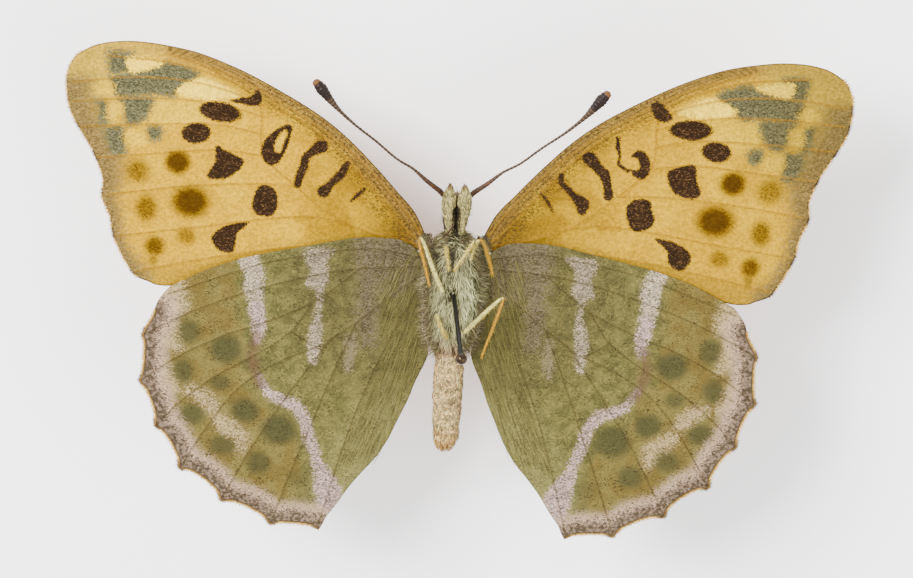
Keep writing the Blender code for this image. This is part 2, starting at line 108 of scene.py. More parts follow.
# ---- marks: ("oval", u, v, half width, half height, tilt), ("area", points) or ("line", points with
# a half width each) ----
FOREWING_DARK = {
    "right": [
        ("oval", 20.6, 14.75, 1.85, 0.92, 8), ("oval", 22.6, 12.7, 1.28, 0.98, -12),
        ("area", [(20.9, 11.6), (20.1, 11.3), (18.5, 10.4), (18.8, 9.5), (20.0, 8.6), (21.6, 8.7),
                  (20.9, 10.1)]),
        ("area", [(17.6, 6.6), (17.2, 7.9), (16.4, 8.2), (15.6, 7.6), (15.4, 6.3), (15.9, 5.4),
                  (17.0, 5.3), (17.6, 5.9)]),
        ("area", [(21.0, 3.2), (20.0, 4.2), (17.8, 4.7), (18.8, 3.6), (18.9, 2.9), (19.2, 1.8),
                  (20.3, 1.9), (20.9, 2.6)]),
        ("area", [(19.8, 15.8), (18.9, 16.1), (17.9, 16.4), (17.4, 17.0), (17.0, 16.0), (17.6, 15.4),
                  (19.1, 15.6)]),
        ("line", [(11.9, 11.9, 0.66), (12.7, 11.3, 0.40), (13.2, 10.8, 0.36), (13.3, 10.0, 0.42),
                  (13.6, 9.2, 0.38), (13.8, 8.4, 0.36)]),
        ("line", [(9.6, 10.4, 0.30), (10.1, 9.4, 0.40), (10.9, 8.5, 0.34), (11.5, 7.8, 0.62)]),
        ("line", [(8.0, 8.1, 0.14), (8.6, 7.5, 0.20), (9.1, 7.0, 0.14)])],
    "left": [
        ("oval", 19.6, 14.8, 1.85, 0.92, 0), ("oval", 21.9, 12.85, 1.28, 0.95, -8),
        ("area", [(17.8, 10.7), (18.3, 11.2), (20.1, 11.6), (20.4, 10.0), (20.8, 9.2), (20.4, 8.5),
                  (18.9, 8.7), (18.1, 9.5)]),
        ("area", [(14.5, 7.4), (15.2, 8.2), (16.4, 8.2), (16.7, 7.3), (17.0, 6.3), (16.5, 5.5),
                  (15.2, 5.3), (14.6, 6.3)]),
        ("area", [(17.1, 4.6), (18.6, 4.4), (20.0, 3.6), (20.3, 2.6), (19.5, 1.7), (18.4, 2.4),
                  (18.2, 3.5)]),
        ("area", [(16.0, 17.0), (16.7, 17.3), (17.4, 16.7), (18.0, 15.9), (17.4, 15.4), (16.5, 15.8)]),
        ("line", [(11.1, 11.8, 0.66), (11.8, 11.0, 0.48), (12.4, 10.4, 0.52), (12.7, 9.6, 0.40),
                  (12.9, 8.4, 0.42)]),
        ("line", [(8.8, 10.2, 0.26), (8.8, 9.4, 0.28), (9.4, 8.8, 0.30), (10.0, 8.2, 0.36),
                  (10.7, 7.5, 0.62), (10.7, 6.9, 0.4)]),
        ("line", [(7.1, 8.3, 0.12), (7.7, 7.6, 0.18), (8.2, 6.7, 0.12)]),
        ("line", [(13.4, 13.9, 0.16), (13.5, 12.8, 0.22), (13.7, 12.1, 0.10), (13.6, 11.4, 0.16),
                  (14.4, 10.8, 0.16)])]}
RING = {
    "right": ([(17.0, 11.4), (16.7, 12.4), (16.0, 13.1), (15.0, 13.8), (14.4, 13.7), (14.5, 12.8),
               (14.8, 11.6), (15.4, 10.4), (16.1, 10.0), (16.8, 10.5)],
              [(15.9, 11.4), (15.7, 12.4), (15.1, 13.3), (14.8, 13.0), (15.1, 12.1), (15.4, 11.2)]),
    "left": ([(14.7, 12.3), (15.4, 12.8), (16.2, 12.1), (16.3, 10.8), (15.7, 10.1), (14.8, 10.5)],
             [(14.2, 11.8), (14.9, 12.1), (15.3, 11.8), (15.4, 11.1), (14.9, 10.9), (14.2, 11.2)])}
FOREWING_BROWN = {   # u, v, half width, half height, strength
    "right": [(24.1, 9.9, 1.05, 1.05, 1.0), (22.9, 6.3, 1.6, 1.45, 0.95), (27.5, 8.9, 1.15, 1.15, 0.60),
              (26.7, 5.5, 1.0, 1.35, 0.66), (25.9, 2.0, 0.9, 1.0, 0.74), (23.2, 3.1, 0.95, 0.9, 0.56),
              (26.0, 0.7, 0.4, 0.6, 0.5)],
    "left": [(23.5, 9.95, 1.05, 1.05, 1.0), (22.2, 6.4, 1.6, 1.4, 0.95), (26.7, 9.3, 1.2, 1.25, 0.58),
             (26.2, 5.4, 0.95, 1.3, 0.66), (25.5, 2.2, 0.85, 1.0, 0.74), (22.8, 2.9, 0.95, 0.9, 0.56),
             (25.4, 1.0, 0.4, 0.6, 0.5)]}
FOREWING_CREAM = {
    "right": [("area", [(28.6, 19.3), (27.2, 19.2), (25.6, 18.9), (26.8, 18.3), (28.3, 18.0)]),
              ("area", [(24.4, 16.5), (22.4, 17.7), (21.0, 17.4), (19.0, 16.3), (20.4, 15.9),
                        (22.8, 15.9)])],
    "left": [("area", [(28.2, 19.3), (26.8, 19.3), (25.0, 18.9), (26.2, 18.3), (27.9, 18.1)]),
             ("area", [(23.4, 16.6), (21.6, 17.7), (20.2, 17.5), (18.3, 16.4), (19.7, 16.0),
                       (21.8, 16.0)])]}
FOREWING_GREY = [
    ("area", [(30.1, 19.8), (28.1, 19.7), (28.6, 19.0), (28.4, 18.1), (29.9, 17.7), (30.2, 18.9)]),
    ("area", [(29.9, 17.5), (28.4, 18.0), (26.2, 18.5), (25.2, 19.0), (23.7, 18.7), (22.6, 18.0),
              (24.1, 16.6), (24.7, 16.0), (26.6, 16.0), (29.3, 15.7), (29.9, 16.6)]),
    ("area", [(29.3, 15.6), (26.6, 15.8), (26.6, 14.5), (27.4, 13.4), (28.5, 13.3), (29.0, 14.9)]),
    ("area", [(31.0, 15.2), (30.3, 14.9), (30.0, 13.3), (30.7, 13.2)]),
    ("area", [(30.3, 12.5), (28.9, 12.8), (28.6, 11.7), (28.7, 10.5), (29.7, 10.5)]),
    ("oval", 26.2, 12.5, 0.6, 0.65, 0)]
FOREWING_PALE = [
    ("oval", 30.5, 16.4, 0.8, 0.6, 0), ("oval", 29.6, 14.3, 0.6, 0.85, 20),
    ("oval", 27.8, 11.9, 0.9, 0.8, 0)]
FOREWING_YELLOW = [
    ("area", [(26.6, 15.6), (22.4, 15.8), (22.3, 14.0), (24.8, 13.3), (26.6, 13.8)])]
HINDWING_SILVER = {
    "right": [("area", [(12.9, 2.3), (10.6, 2.6), (11.0, 1.4), (11.1, -0.8), (12.7, -0.9), (12.4, 0.5)]),
              ("line", [(11.5, -1.2, 0.22), (11.5, -2.5, 0.15), (11.7, -4.3, 0.35), (11.8, -5.8, 0.50),
                        (11.9, -7.9, 0.30)]),
              ("line", [(17.9, 1.7, 0.8), (17.2, 0.0, 0.75), (17.2, -1.6, 0.70), (16.9, -3.2, 0.50)])],
    "left": [("area", [(12.2, 2.3), (10.6, 2.6), (9.6, 2.6), (10.5, 1.4), (10.4, -0.9), (12.0, -0.9),
                       (11.8, 0.6)]),
             ("line", [(11.1, -1.2, 0.22), (11.0, -2.5, 0.15), (11.1, -4.0, 0.35), (11.3, -5.6, 0.50),
                       (11.3, -7.9, 0.28)]),
             ("line", [(17.6, 1.6, 0.8), (17.0, -0.1, 0.75), (17.0, -1.8, 0.70), (16.7, -3.4, 0.55)])]}
HINDWING_LILAC = [
    ("line", [(16.9, -3.2, 0.6), (16.6, -5.0, 0.5), (16.7, -6.2, 0.3)]),
    ("line", [(16.5, -9.6, 0.18), (15.6, -11.2, 0.28), (14.5, -11.8, 0.40), (13.2, -12.3, 0.42),
              (12.3, -13.8, 0.40), (11.9, -15.4, 0.38), (11.3, -17.0, 0.36), (11.1, -18.6, 0.30)]),
    ("area", [(11.0, -17.6), (9.6, -19.2), (8.9, -20.8), (10.2, -22.6), (11.2, -20.6)])]
HINDWING_STREAK = [("line", [(8.6, -5.6, 0.34), (8.6, -7.2, 0.42), (8.7, -8.8, 0.2)])]
HINDWING_BASAL = [
    ("line", [(7.4, 3.0, 1.0), (7.2, 0.0, 0.8), (7.2, -3.0, 0.7), (7.1, -6.0, 0.4)]),
    ("line", [(5.4, 2.6, 1.7), (5.0, 0.0, 1.7)])]
HINDWING_PURPLE = [("line", [(16.8, -5.8, 0.30), (17.1, -8.0, 0.50), (16.4, -10.2, 0.42)])]
HINDWING_SPOTS = [   # u, v, half width, half height, strength
    (19.4, -7.2, 1.35, 1.3, 1.0), (22.7, -5.7, 1.1, 1.3, 0.75), (23.1, -9.5, 1.0, 1.3, 0.75),
    (19.8, -10.4, 1.0, 0.85, 0.65), (22.2, -13.6, 1.25, 1.1, 0.8), (17.6, -13.0, 1.25, 1.2, 0.9),
    (14.6, -14.7, 1.55, 1.45, 1.0), (19.4, -16.4, 1.35, 1.1, 0.7), (16.3, -18.0, 1.2, 1.2, 0.75),
    (12.6, -19.4, 1.3, 1.3, 0.45), (12.1, -21.2, 0.8, 0.8, 0.4)]
HINDWING_WHITE = [
    ("line", [(24.2, -1.7, 1.0), (23.6, -3.2, 0.7)]),
    ("line", [(24.2, -5.0, 0.35), (24.3, -6.4, 0.5), (23.6, -7.3, 0.25)]),
    ("line", [(24.5, -9.2, 0.25), (24.5, -10.4, 0.45), (23.8, -11.2, 0.3)]),
    ("line", [(22.5, -11.3, 0.3), (21.4, -11.8, 0.55), (20.3, -12.9, 0.4)]),
    ("line", [(19.9, -13.8, 0.35), (19.2, -14.6, 0.55), (18.0, -15.4, 0.45), (17.8, -16.7, 0.2)])]
HINDWING_GOLD = [(18.2, 2.0), (17.8, -3.0), (17.4, -9.0), (15.5, -12.2), (13.0, -14.2), (11.6, -19.5),
                 (11.0, -25.0), (30.0, -25.0), (30.0, 2.0)]


# ---- plane geometry ----
def curve_through(points, step, closed=False):
    """Points every `step` or so along a smooth curve through the given ones."""
    points = np.array(points, float)
    n = len(points)
    out = []
    for i in range(n if closed else n - 1):
        around = [i + k for k in (-1, 0, 1, 2)]
        around = [k % n for k in around] if closed else [min(max(k, 0), n - 1) for k in around]
        a, b, c, d = points[around]
        parts = max(1, int(round(float(np.hypot(*(c - b)[:2])) / step)))
        t = (np.arange(parts) / parts)[:, None]
        out.append(0.5 * (2 * b + (c - a) * t + (2 * a - 5 * b + 4 * c - d) * t ** 2
                          + (3 * b - a - 3 * c + d) * t ** 3))
    if not closed:
        out.append(points[-1:])
    return np.concatenate(out)


def away(places, line, closed=False):
    """Distance of each place from a bent line, less the line's half width where it has one."""
    line = np.array(line, float)
    ends = np.roll(line, -1, axis=0) if closed else line[1:]
    starts = line if closed else line[:-1]
    best = np.full(len(places), FAR)
    for a, b in zip(starts, ends):
        along = b[:2] - a[:2]
        t = np.clip(((places - a[:2]) @ along) / max(float(along @ along), 1e-12), 0, 1)
        gap = np.hypot(*(places - a[:2] - t[:, None] * along).T)
        if line.shape[1] == 3:
            gap = gap - (a[2] + (b[2] - a[2]) * t)
        best = np.minimum(best, gap)
    return best


def ramp(value, low, high):
    """How far a value is on its way from low to high, held between 0 and 1."""
    return np.clip((value - low) / (high - low), 0, 1)


def inside(places, outline):
    """Whether each place is inside a closed outline."""
    odd = np.zeros(len(places), bool)
    x, y = places.T
    for (ax, ay), (bx, by) in zip(outline, np.roll(outline, -1, axis=0)):
        if ay == by:
            continue
        crosses = (ay > y) != (by > y)
        odd ^= crosses & (x < (bx - ax) * (y - ay) / (by - ay) + ax)
    return odd


def depth_in(places, outline):
    """How deep each place is inside a closed outline; negative outside."""
    gap = away(places, outline, closed=True)
    return np.where(inside(places, outline), gap, -gap)


def oval(places, u, v, half_w, half_h, tilt=0):
    """How deep each place is inside an oval, tilted by some degrees; negative outside."""
    c, s = cos(radians(tilt)), sin(radians(tilt))
    x = (places[:, 0] - u) * c + (places[:, 1] - v) * s
    y = (places[:, 1] - v) * c - (places[:, 0] - u) * s
    return (1 - np.hypot(x / half_w, y / half_h)) * min(half_w, half_h)


def depth_in_marks(places, marks):
    """How deep each place is inside the nearest of some marks; negative outside them all."""
    best = np.full(len(places), -FAR)
    for kind, *facts in marks:
        if kind == "oval":
            depth = oval(places, *facts)
        elif kind == "area":
            depth = depth_in(places, curve_through(facts[0], 0.25, closed=True))
        else:
            depth = -away(places, curve_through(facts[0], 0.4))
        best = np.maximum(best, depth)
    return best


def soft_marks(places, marks):
    """Strength of some blurred oval marks, 1 in the middle and 0 outside them."""
    best = np.zeros(len(places))
    for u, v, half_w, half_h, strength in marks:
        near = 1 - np.hypot((places[:, 0] - u) / half_w, (places[:, 1] - v) / half_h)
        best = np.maximum(best, strength * np.clip(0.5 + near * 1.1, 0, 1))
    return best


def stretch(outline, start, end):
    """The part of a closed outline between the points nearest to two places, in its own order."""
    first, last = (int(np.argmin(np.hypot(*(outline - np.array(p)).T))) for p in (start, end))
    return np.roll(outline, -first, axis=0)[:(last - first) % len(outline) + 1]


# ---- objects ----
def row(points):
    """Points in the specimen's millimetres, in metres in the CAD model's frame."""
    return (np.asarray(points, float) + (AXIS_X, 0, 0)) * MM


def specimen(obj):
    """A CAD node's vertices in the specimen's millimetres."""
    co = np.array([v.co for v in obj.data.vertices]) / MM
    return co - (AXIS_X, 0, 0)


def box(node):
    """The low and high corners of a CAD node's box, in millimetres."""
    return [np.array(corner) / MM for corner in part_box(node)]


def piece(name, points, faces, mats, stands_for=()):
    """A mesh that rides on the body and, where it stands for CAD nodes, hides them."""
    mesh = bpy.data.meshes.new(name)
    mesh.from_pydata([tuple(p) for p in row(points)], [], [tuple(f) for f in faces])
    for mat in mats:
        mesh.materials.append(mat)
    mesh.polygons.foreach_set("use_smooth", [True] * len(mesh.polygons))
    obj = bpy.data.objects.new(name, mesh)
    bpy.context.scene.collection.objects.link(obj)
    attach(obj, "root")
    if stands_for:
        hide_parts(*stands_for)
    return obj


def field(obj, name, values):
    """Stores one number for each vertex, for the materials to read."""
    layer = obj.data.attributes.new(name, 'FLOAT', 'POINT')
    layer.data.foreach_set("value", np.asarray(values, np.float32))


# ---- materials ----
class Painter:
    """Builds a material's nodes."""

    def __init__(self, name, shine=0.12):
        self.mat = bpy.data.materials.new(name)
        self.mat.use_nodes = True
        self.tree = self.mat.node_tree
        self.shader = self.tree.nodes["Principled BSDF"]
        self.shader.inputs["Specular IOR Level"].default_value = shine
        coords = self.tree.nodes.new("ShaderNodeTexCoord")
        self.mm = self.vector('SCALE', coords.outputs["Object"], scale=1 / MM)

    def put(self, socket, value):
        """Sets a socket to another socket's output, a field's name, a colour or a number."""
        if isinstance(value, str):
            value = self.field(value)
        if isinstance(value, bpy.types.NodeSocket):
            self.tree.links.new(value, socket)
        elif isinstance(value, tuple) and len(value) == 3 and socket.type == 'RGBA':
            socket.default_value = (*value, 1.0)
        else:
            socket.default_value = value

    def vector(self, operation, a, b=(0, 0, 0), scale=1.0):
        made = self.tree.nodes.new("ShaderNodeVectorMath")
        made.operation = operation
        self.put(made.inputs[0], a)
        self.put(made.inputs[1], b)
        if operation == 'SCALE':
            made.inputs["Scale"].default_value = scale
        return made.outputs[0]

    def sum(self, operation, a, b=0.0, c=0.0):
        made = self.tree.nodes.new("ShaderNodeMath")
        made.operation = operation
        for socket, value in zip(made.inputs, (a, b, c)):
            self.put(socket, value)
        return made.outputs[0]

    def field(self, name):
        made = self.tree.nodes.new("ShaderNodeAttribute")
        made.attribute_name = name
        return made.outputs["Fac"]

    def noise(self, size, detail=2.0):
        """Cloudy noise about 0.5, with features of a size in mm."""
        made = self.tree.nodes.new("ShaderNodeTexNoise")
        made.inputs["Scale"].default_value = 1 / size
        made.inputs["Detail"].default_value = detail
        self.put(made.inputs["Vector"], self.mm)
        return made.outputs["Fac"]

    def cells(self, wide, long):
        """One random number from 0 to 1 for each wing scale."""
        made = self.tree.nodes.new("ShaderNodeTexVoronoi")
        made.inputs["Scale"].default_value = 1.0
        self.put(made.inputs["Vector"], self.vector('MULTIPLY', self.mm, (1 / long, 1 / wide, 0.0)))
        split = self.tree.nodes.new("ShaderNodeSeparateColor")
        self.put(split.inputs[0], made.outputs["Color"])
        return split.outputs[0]

    def step(self, value, low, high, to_low=0.0, to_high=1.0):
        """Goes smoothly from to_low to to_high as value goes from low to high."""
        made = self.tree.nodes.new("ShaderNodeMapRange")
        made.interpolation_type = 'SMOOTHSTEP'
        for name, number in (("From Min", low), ("From Max", high), ("To Min", to_low),
                             ("To Max", to_high)):
            made.inputs[name].default_value = number
        self.put(made.inputs["Value"], value)
        return made.outputs[0]

    def mix(self, share, a, b, blend='MIX'):
        made = self.tree.nodes.new("ShaderNodeMix")
        made.data_type = 'RGBA'
        made.blend_type = blend
        self.put(made.inputs[0], share)
        self.put(made.inputs[6], a)
        self.put(made.inputs[7], b)
        return made.outputs[2]

    def over(self, colour, paint, value, low, high, to_low=0.0, to_high=1.0):
        """The colour with paint laid over it, by a share that runs from to_low to to_high."""
        return self.mix(self.step(value, low, high, to_low, to_high), colour, paint)

    def vary(self, colour, amount, chance):
        """The colour made darker and lighter at random, by up to an amount either way."""
        low, high = (1 - amount,) * 3, (1 + amount,) * 3
        return self.mix(1.0, colour, self.mix(chance, low, high), 'MULTIPLY')

    def finish(self, colour, roughness, bump=None, strength=0.2, distance=0.05):
        self.put(self.shader.inputs["Base Color"], colour)
        self.put(self.shader.inputs["Roughness"], roughness)
        if bump is not None:
            made = self.tree.nodes.new("ShaderNodeBump")
            made.inputs["Strength"].default_value = strength
            made.inputs["Distance"].default_value = distance * MM
            self.put(made.inputs["Height"], bump)
            self.put(self.shader.inputs["Normal"], made.outputs[0])
        return self.mat


# The display's tone curve: from scene light to the screen it mixes the channels, bends them and
# mixes them back. These are the standard constants of that curve.
TO_WIDE = np.array([[0.6274, 0.3293, 0.0433], [0.0691, 0.9195, 0.0113], [0.0164, 0.0880, 0.8956]])
INSET = np.array([[0.8566, 0.0951, 0.0483], [0.1373, 0.7612, 0.1014], [0.1119, 0.0768, 0.8113]])
OUTSET = np.array([[1.1271, -0.1106, -0.0165], [-0.1413, 1.1578, -0.0165], [-0.1413, -0.1106, 1.2519]])
DARKEST, BRIGHTEST = -12.474, 4.026     # the curve's ends, in stops
ROOM_LIGHT = 3.3                        # brightness of a white surface that lies level in the room

# Colours too strong for rgb() to reach, as surface colours.
GOLD, DEEP_GOLD, PALE_GOLD = (0.31, 0.170, 0.0003), (0.175, 0.090, 0.0003), (0.39, 0.235, 0.001)
TAN, AMBER, BASE_GOLD = (0.195, 0.112, 0.005), (0.30, 0.165, 0.001), (0.090, 0.046, 0.003)
APEX_YELLOW, CREAM, CREAM_DARK = (0.35, 0.220, 0.010), (0.56, 0.375, 0.020), (0.40, 0.25, 0.004)
SOFT_BROWN, SPOT_BROWN, SPOT_GLINT = (0.028, 0.011, 0.0015), (0.014, 0.0070, 0.0032), (0.050, 0.026, 0.010)
VEIN_BROWN, LEG_AMBER, LEG_DEEP = (0.14, 0.068, 0.003), (0.36, 0.18, 0.012), (0.15, 0.068, 0.004)
TIP_ORANGE, TUFT_TAN = (0.08, 0.032, 0.007), (0.40, 0.23, 0.06)
UPPER_ORANGE, UPPER_ORANGE_PALE = (0.40, 0.12, 0.003), (0.52, 0.20, 0.006)
WING_SHINE = 0.02
FUR_ROUGHNESS = 0.75


def rgb(r, g, b):
    """The surface colour that shows as this display colour, 0 to 255, in this room."""
    shown = np.array((r, g, b)) / 255
    shown = np.where(shown <= 0.04045, shown / 12.92, ((shown + 0.055) / 1.055) ** 2.4)
    bent = np.linalg.solve(OUTSET, np.maximum(TO_WIDE @ shown, 0) ** (1 / 2.2))
    x = np.linspace(0.05, 1, 2000)
    curve = np.polyval([15.5, -40.14, 31.96, -6.868, 0.4298, 0.1191, -0.00232], x)
    stops = np.interp(bent, curve, x) * (BRIGHTEST - DARKEST) + DARKEST
    light = np.linalg.solve(TO_WIDE, np.linalg.solve(INSET, 2 ** stops))
    return tuple(float(c) for c in np.clip(light / ROOM_LIGHT, 0.003, 0.9))


def ragged(p, depth, cell, amount):
    """A field of marks whose edges move in and out scale by scale."""
    return p.sum('MULTIPLY_ADD', p.sum('SUBTRACT', cell, 0.5), amount, depth)


def frayed(p, depth, cell, soft, fray):
    """A mark's share at each point, with an edge that breaks up scale by scale."""
    return p.step(ragged(p, depth, cell, fray), -soft, soft)


def forewing_underside():
    p = Painter("forewing_underside", WING_SHINE)
    cell = p.cells(SCALE_WIDE, SCALE_LONG)
    cloud = p.noise(1.6, 3.0)
    u, v = p.field("u"), p.field("v")
    colour = p.mix(p.step(p.sum('MULTIPLY_ADD', cloud, 5.0, u), 12.0, 18.0), DEEP_GOLD, GOLD)
    colour = p.over(colour, PALE_GOLD, p.noise(3.2, 1.0), 0.46, 0.62, 0.0, 0.4)
    colour = p.over(colour, CREAM_DARK, "yellow", -0.8, 0.5, 0.0, 0.7)
    colour = p.over(colour, TAN, "tan", -0.8, 1.2, 0.0, 0.85)
    colour = p.over(colour, BASE_GOLD, "base", -0.5, 6.5, 0.9, 0.0)
    colour = p.over(colour, APEX_YELLOW, "apex", -1.4, 0.9, 0.0, 0.9)
    margin = p.field("outer")
    width = p.step(v, 3.0, 14.0, 0.62, 3.3)
    band = p.step(p.sum('DIVIDE', p.sum('MULTIPLY_ADD', cell, -1.2, margin), width), 0.15, 1.15, 0.95, 0.0)
    band = p.sum('MULTIPLY', band, p.step(v, 16.6, 18.6, 1.0, 0.25))
    colour = p.mix(band, colour, p.mix(cell, rgb(122, 102, 70), rgb(170, 148, 106)))
    grey = p.step(ragged(p, "grey", cell, 0.7), -0.36, 0.06)
    colour = p.mix(grey, colour, p.mix(cell, rgb(88, 86, 64), rgb(150, 142, 110)))
    colour = p.mix(frayed(p, "cream", cell, 0.15, 0.4), colour, CREAM)
    colour = p.mix(p.sum('MULTIPLY', frayed(p, "pale", cell, 0.3, 0.6), 0.8), colour, CREAM_DARK)
    costa = p.field("costa")
    along_costa = p.step(p.sum('MULTIPLY_ADD', cell, 0.5, costa), 0.6, 2.0, 0.85, 0.0)
    along_costa = p.sum('MULTIPLY', along_costa, p.step(u, 22.0, 31.0, 1.0, 0.3))
    colour = p.mix(along_costa, colour, rgb(176, 148, 98))
    broken = p.step(p.noise(0.6, 2.0), 0.35, 0.60, 0.35, 0.95)
    lines = p.step("costal_lines", 0.02, 0.12, 0.8, 0.0)
    colour = p.mix(p.sum('MULTIPLY', lines, broken), colour, rgb(94, 70, 42))
    dusty = p.sum('MULTIPLY', p.step(cell, 0.58, 0.66), p.step("dust", 0.0, 1.0, 0.0, 0.85))
    colour = p.mix(dusty, colour, rgb(88, 66, 38))
    # painted shade: one forewing darkened towards brown, most towards its tip
    colour = p.mix("shade", colour, rgb(104, 88, 46))
    colour = p.over(colour, VEIN_BROWN, "vein", 0.03, 0.15, 0.65, 0.0)
    colour = p.over(colour, rgb(96, 76, 48), "edge", 0.05, 0.16, 0.7, 0.0)
    brown = ragged(p, "brown", cell, 0.35)
    colour = p.over(colour, SOFT_BROWN, brown, 0.05, 0.88, 0.0, 0.96)
    dark = frayed(p, "dark", cell, 0.06, 0.2)
    colour = p.mix(dark, colour, p.mix(p.step(cell, 0.75, 1.0), SPOT_BROWN, SPOT_GLINT))
    colour = p.vary(colour, 0.2, cell)
    colour = p.vary(colour, 0.16, p.step(p.noise(0.26, 3.0), 0.35, 0.65))
    return p.finish(colour, p.step(cell, 0.0, 1.0, 0.55, 0.8), cell, 0.18, 0.03)


def hindwing_underside():
    p = Painter("hindwing_underside", WING_SHINE)
    cell = p.cells(SCALE_WIDE, SCALE_LONG)
    cloud, fine = p.noise(1.3, 3.0), p.noise(0.3, 3.0)
    colour = p.mix(p.step(cloud, 0.36, 0.64), rgb(126, 119, 76), rgb(152, 143, 98))
    colour = p.over(colour, rgb(180, 168, 122), fine, 0.52, 0.75, 0.0, 0.5)
    gold = p.sum('MULTIPLY_ADD', p.sum('SUBTRACT', cloud, 0.5), 3.0, "gold")
    tawny = p.mix(p.step(p.noise(2.0, 2.0), 0.4, 0.62), rgb(156, 140, 94), rgb(146, 124, 76))
    colour = p.over(colour, tawny, gold, -0.3, 1.4, 0.0, 0.85)
    inner = p.sum('MULTIPLY', p.step(ragged(p, "inner", cell, 1.0), -3.5, 1.0, 0.0, 0.7),
                  p.step("base", 6.0, 12.0, 0.1, 1.0))
    colour = p.mix(inner, colour, rgb(166, 158, 118))
    basal = ragged(p, "basal", cell, 1.6)
    colour = p.over(colour, p.mix(cell, rgb(98, 86, 72), rgb(168, 154, 138)), basal, -0.7, 0.5, 0.0, 0.8)
    colour = p.over(colour, rgb(102, 98, 64), ragged(p, "spots", cell, 0.4), 0.1, 0.85, 0.0, 0.9)
    for mark, soft, fray, strength, paint in (
            ("silver", 0.18, 0.55, 1.0, p.mix(cell, rgb(140, 128, 106), rgb(206, 196, 184))),
            ("streak", 0.25, 0.8, 0.6, rgb(182, 170, 152)),
            ("lilac", 0.18, 0.6, 0.9, p.mix(cell, rgb(134, 118, 112), rgb(208, 194, 190))),
            ("purple", 0.3, 0.7, 0.7, rgb(132, 100, 80)),
            ("white", 0.45, 1.2, 0.6, rgb(204, 190, 168))):
        share = p.sum('MULTIPLY', frayed(p, mark, cell, soft, fray), strength)
        colour = p.mix(share, colour, paint)
    colour = p.over(colour, rgb(100, 88, 58), "base", 7.5, 13.5, 0.42, 0.0)
    margin = ragged(p, "outer", cell, 0.9)
    mottled = p.mix(p.step(p.noise(0.3, 3.0), 0.42, 0.60), rgb(110, 93, 80), rgb(170, 152, 138))
    pale = p.mix(p.step(margin, 1.0, 1.5), mottled, rgb(196, 180, 164))
    colour = p.over(colour, pale, margin, 1.6, 2.4, 0.9, 0.0)
    colour = p.over(colour, rgb(110, 92, 72), "outer", 0.16, 0.34, 0.9, 0.0)
    colour = p.over(colour, rgb(186, 156, 108), "outer", 0.10, 0.18, 0.9, 0.0)
    colour = p.over(colour, rgb(98, 80, 46), "vein", 0.02, 0.14, 0.7, 0.0)
    specks = p.sum('MULTIPLY', p.step(cell, 0.82, 0.88), p.step(p.noise(1.2, 2.0), 0.38, 0.6, 0.3, 0.85))
    colour = p.mix(specks, colour, rgb(58, 48, 28))
    colour = p.vary(colour, 0.34, cell)
    return p.finish(colour, p.step(cell, 0.0, 1.0, 0.5, 0.75), cell, 0.18, 0.03)


def upperside(name):
    """The side that faces the foam: orange with dark spots, and a dark line along the margin."""
    p = Painter(name, WING_SHINE)
    cell = p.cells(SCALE_WIDE, SCALE_LONG)
    cloud = p.noise(2.0, 3.0)
    colour = p.mix(p.step(cloud, 0.35, 0.65), UPPER_ORANGE, UPPER_ORANGE_PALE)
    colour = p.over(colour, rgb(120, 84, 40), "base", 0.0, 6.0, 0.7, 0.0)
    colour = p.over(colour, rgb(110, 62, 24), "vein", 0.05, 0.2, 0.7, 0.0)
    dark = frayed(p, "upper_dark", cell, 0.08, 0.3)
    colour = p.mix(dark, colour, rgb(48, 30, 20))
    colour = p.over(colour, rgb(64, 42, 26), "edge", 0.15, 0.45, 0.85, 0.0)
    colour = p.vary(colour, 0.2, cell)
    return p.finish(colour, p.step(cell, 0.0, 1.0, 0.55, 0.75), cell, 0.18, 0.03)


# ---- wings ----
def cad_outline(node, side):
    """A CAD wing's outline as u and v, clockwise for a left wing, and its sheet's height against u."""
    places = specimen(frame["nodes"][node])
    keys = [tuple(np.round(p[:2], 4)) for p in places]
    heights = {}
    for key, p in zip(keys, places):
        heights.setdefault(key, []).append(p[2])
    edges = set()
    for face in frame["nodes"][node].data.polygons:
        if face.normal.z > 0.5:
            ring = [keys[i] for i in face.vertices]
            edges.update(zip(ring, ring[1:] + ring[:1]))
    following = {a: b for a, b in edges if (b, a) not in edges}
    loop = [min(following)]
    while following[loop[-1]] != loop[0]:
        loop.append(following[loop[-1]])
    middle = np.array([(max(heights[k]) + min(heights[k])) / 2 for k in loop])
    loop = np.array(loop) * (side, 1)
    order = np.argsort(loop[:, 0])
    sheet = loop[order, 0], middle[order]
    return (loop[::-1] if side > 0 else loop), sheet


def grid_inside(outline):
    """A staggered grid of points inside an outline."""
    low, high = outline.min(axis=0), outline.max(axis=0)
    rows = np.arange(low[1], high[1], WING_GRID * 0.866)
    columns = np.arange(low[0], high[0], WING_GRID)
    x, y = np.meshgrid(columns, rows)
    x = x + (np.arange(len(rows)) % 2)[:, None] * WING_GRID / 2
    places = np.column_stack([x.ravel(), y.ravel()])
    places = places[inside(places, outline)]
    return places[away(places, outline, closed=True) > WING_GRID * 0.55]


def relief(places, vein, edge):
    """The height of the ridges on a wing's veins, and the rise of the sheet that sags between them."""
    ridge = VEIN_HEIGHT * np.exp(-(vein / VEIN_WIDTH) ** 2)
    sag = FOLD_DEPTH * (1 - np.exp(-vein / 1.1)) * np.clip(edge / 2.0, 0, 1)
    ripple = 0.012 * np.sin(places[:, 0] * 2.1 + places[:, 1] * 1.3) * np.sin(places[:, 1] * 2.9)
    return ridge, ripple - sag


def squared(places, name, side):
    """Places on a wing that is set a little askew, in the frame that its veins are drawn in."""
    angle = -side * WING_TURN[name.split("_")[0]]
    return places @ np.array([[cos(angle), sin(angle)], [-sin(angle), cos(angle)]])


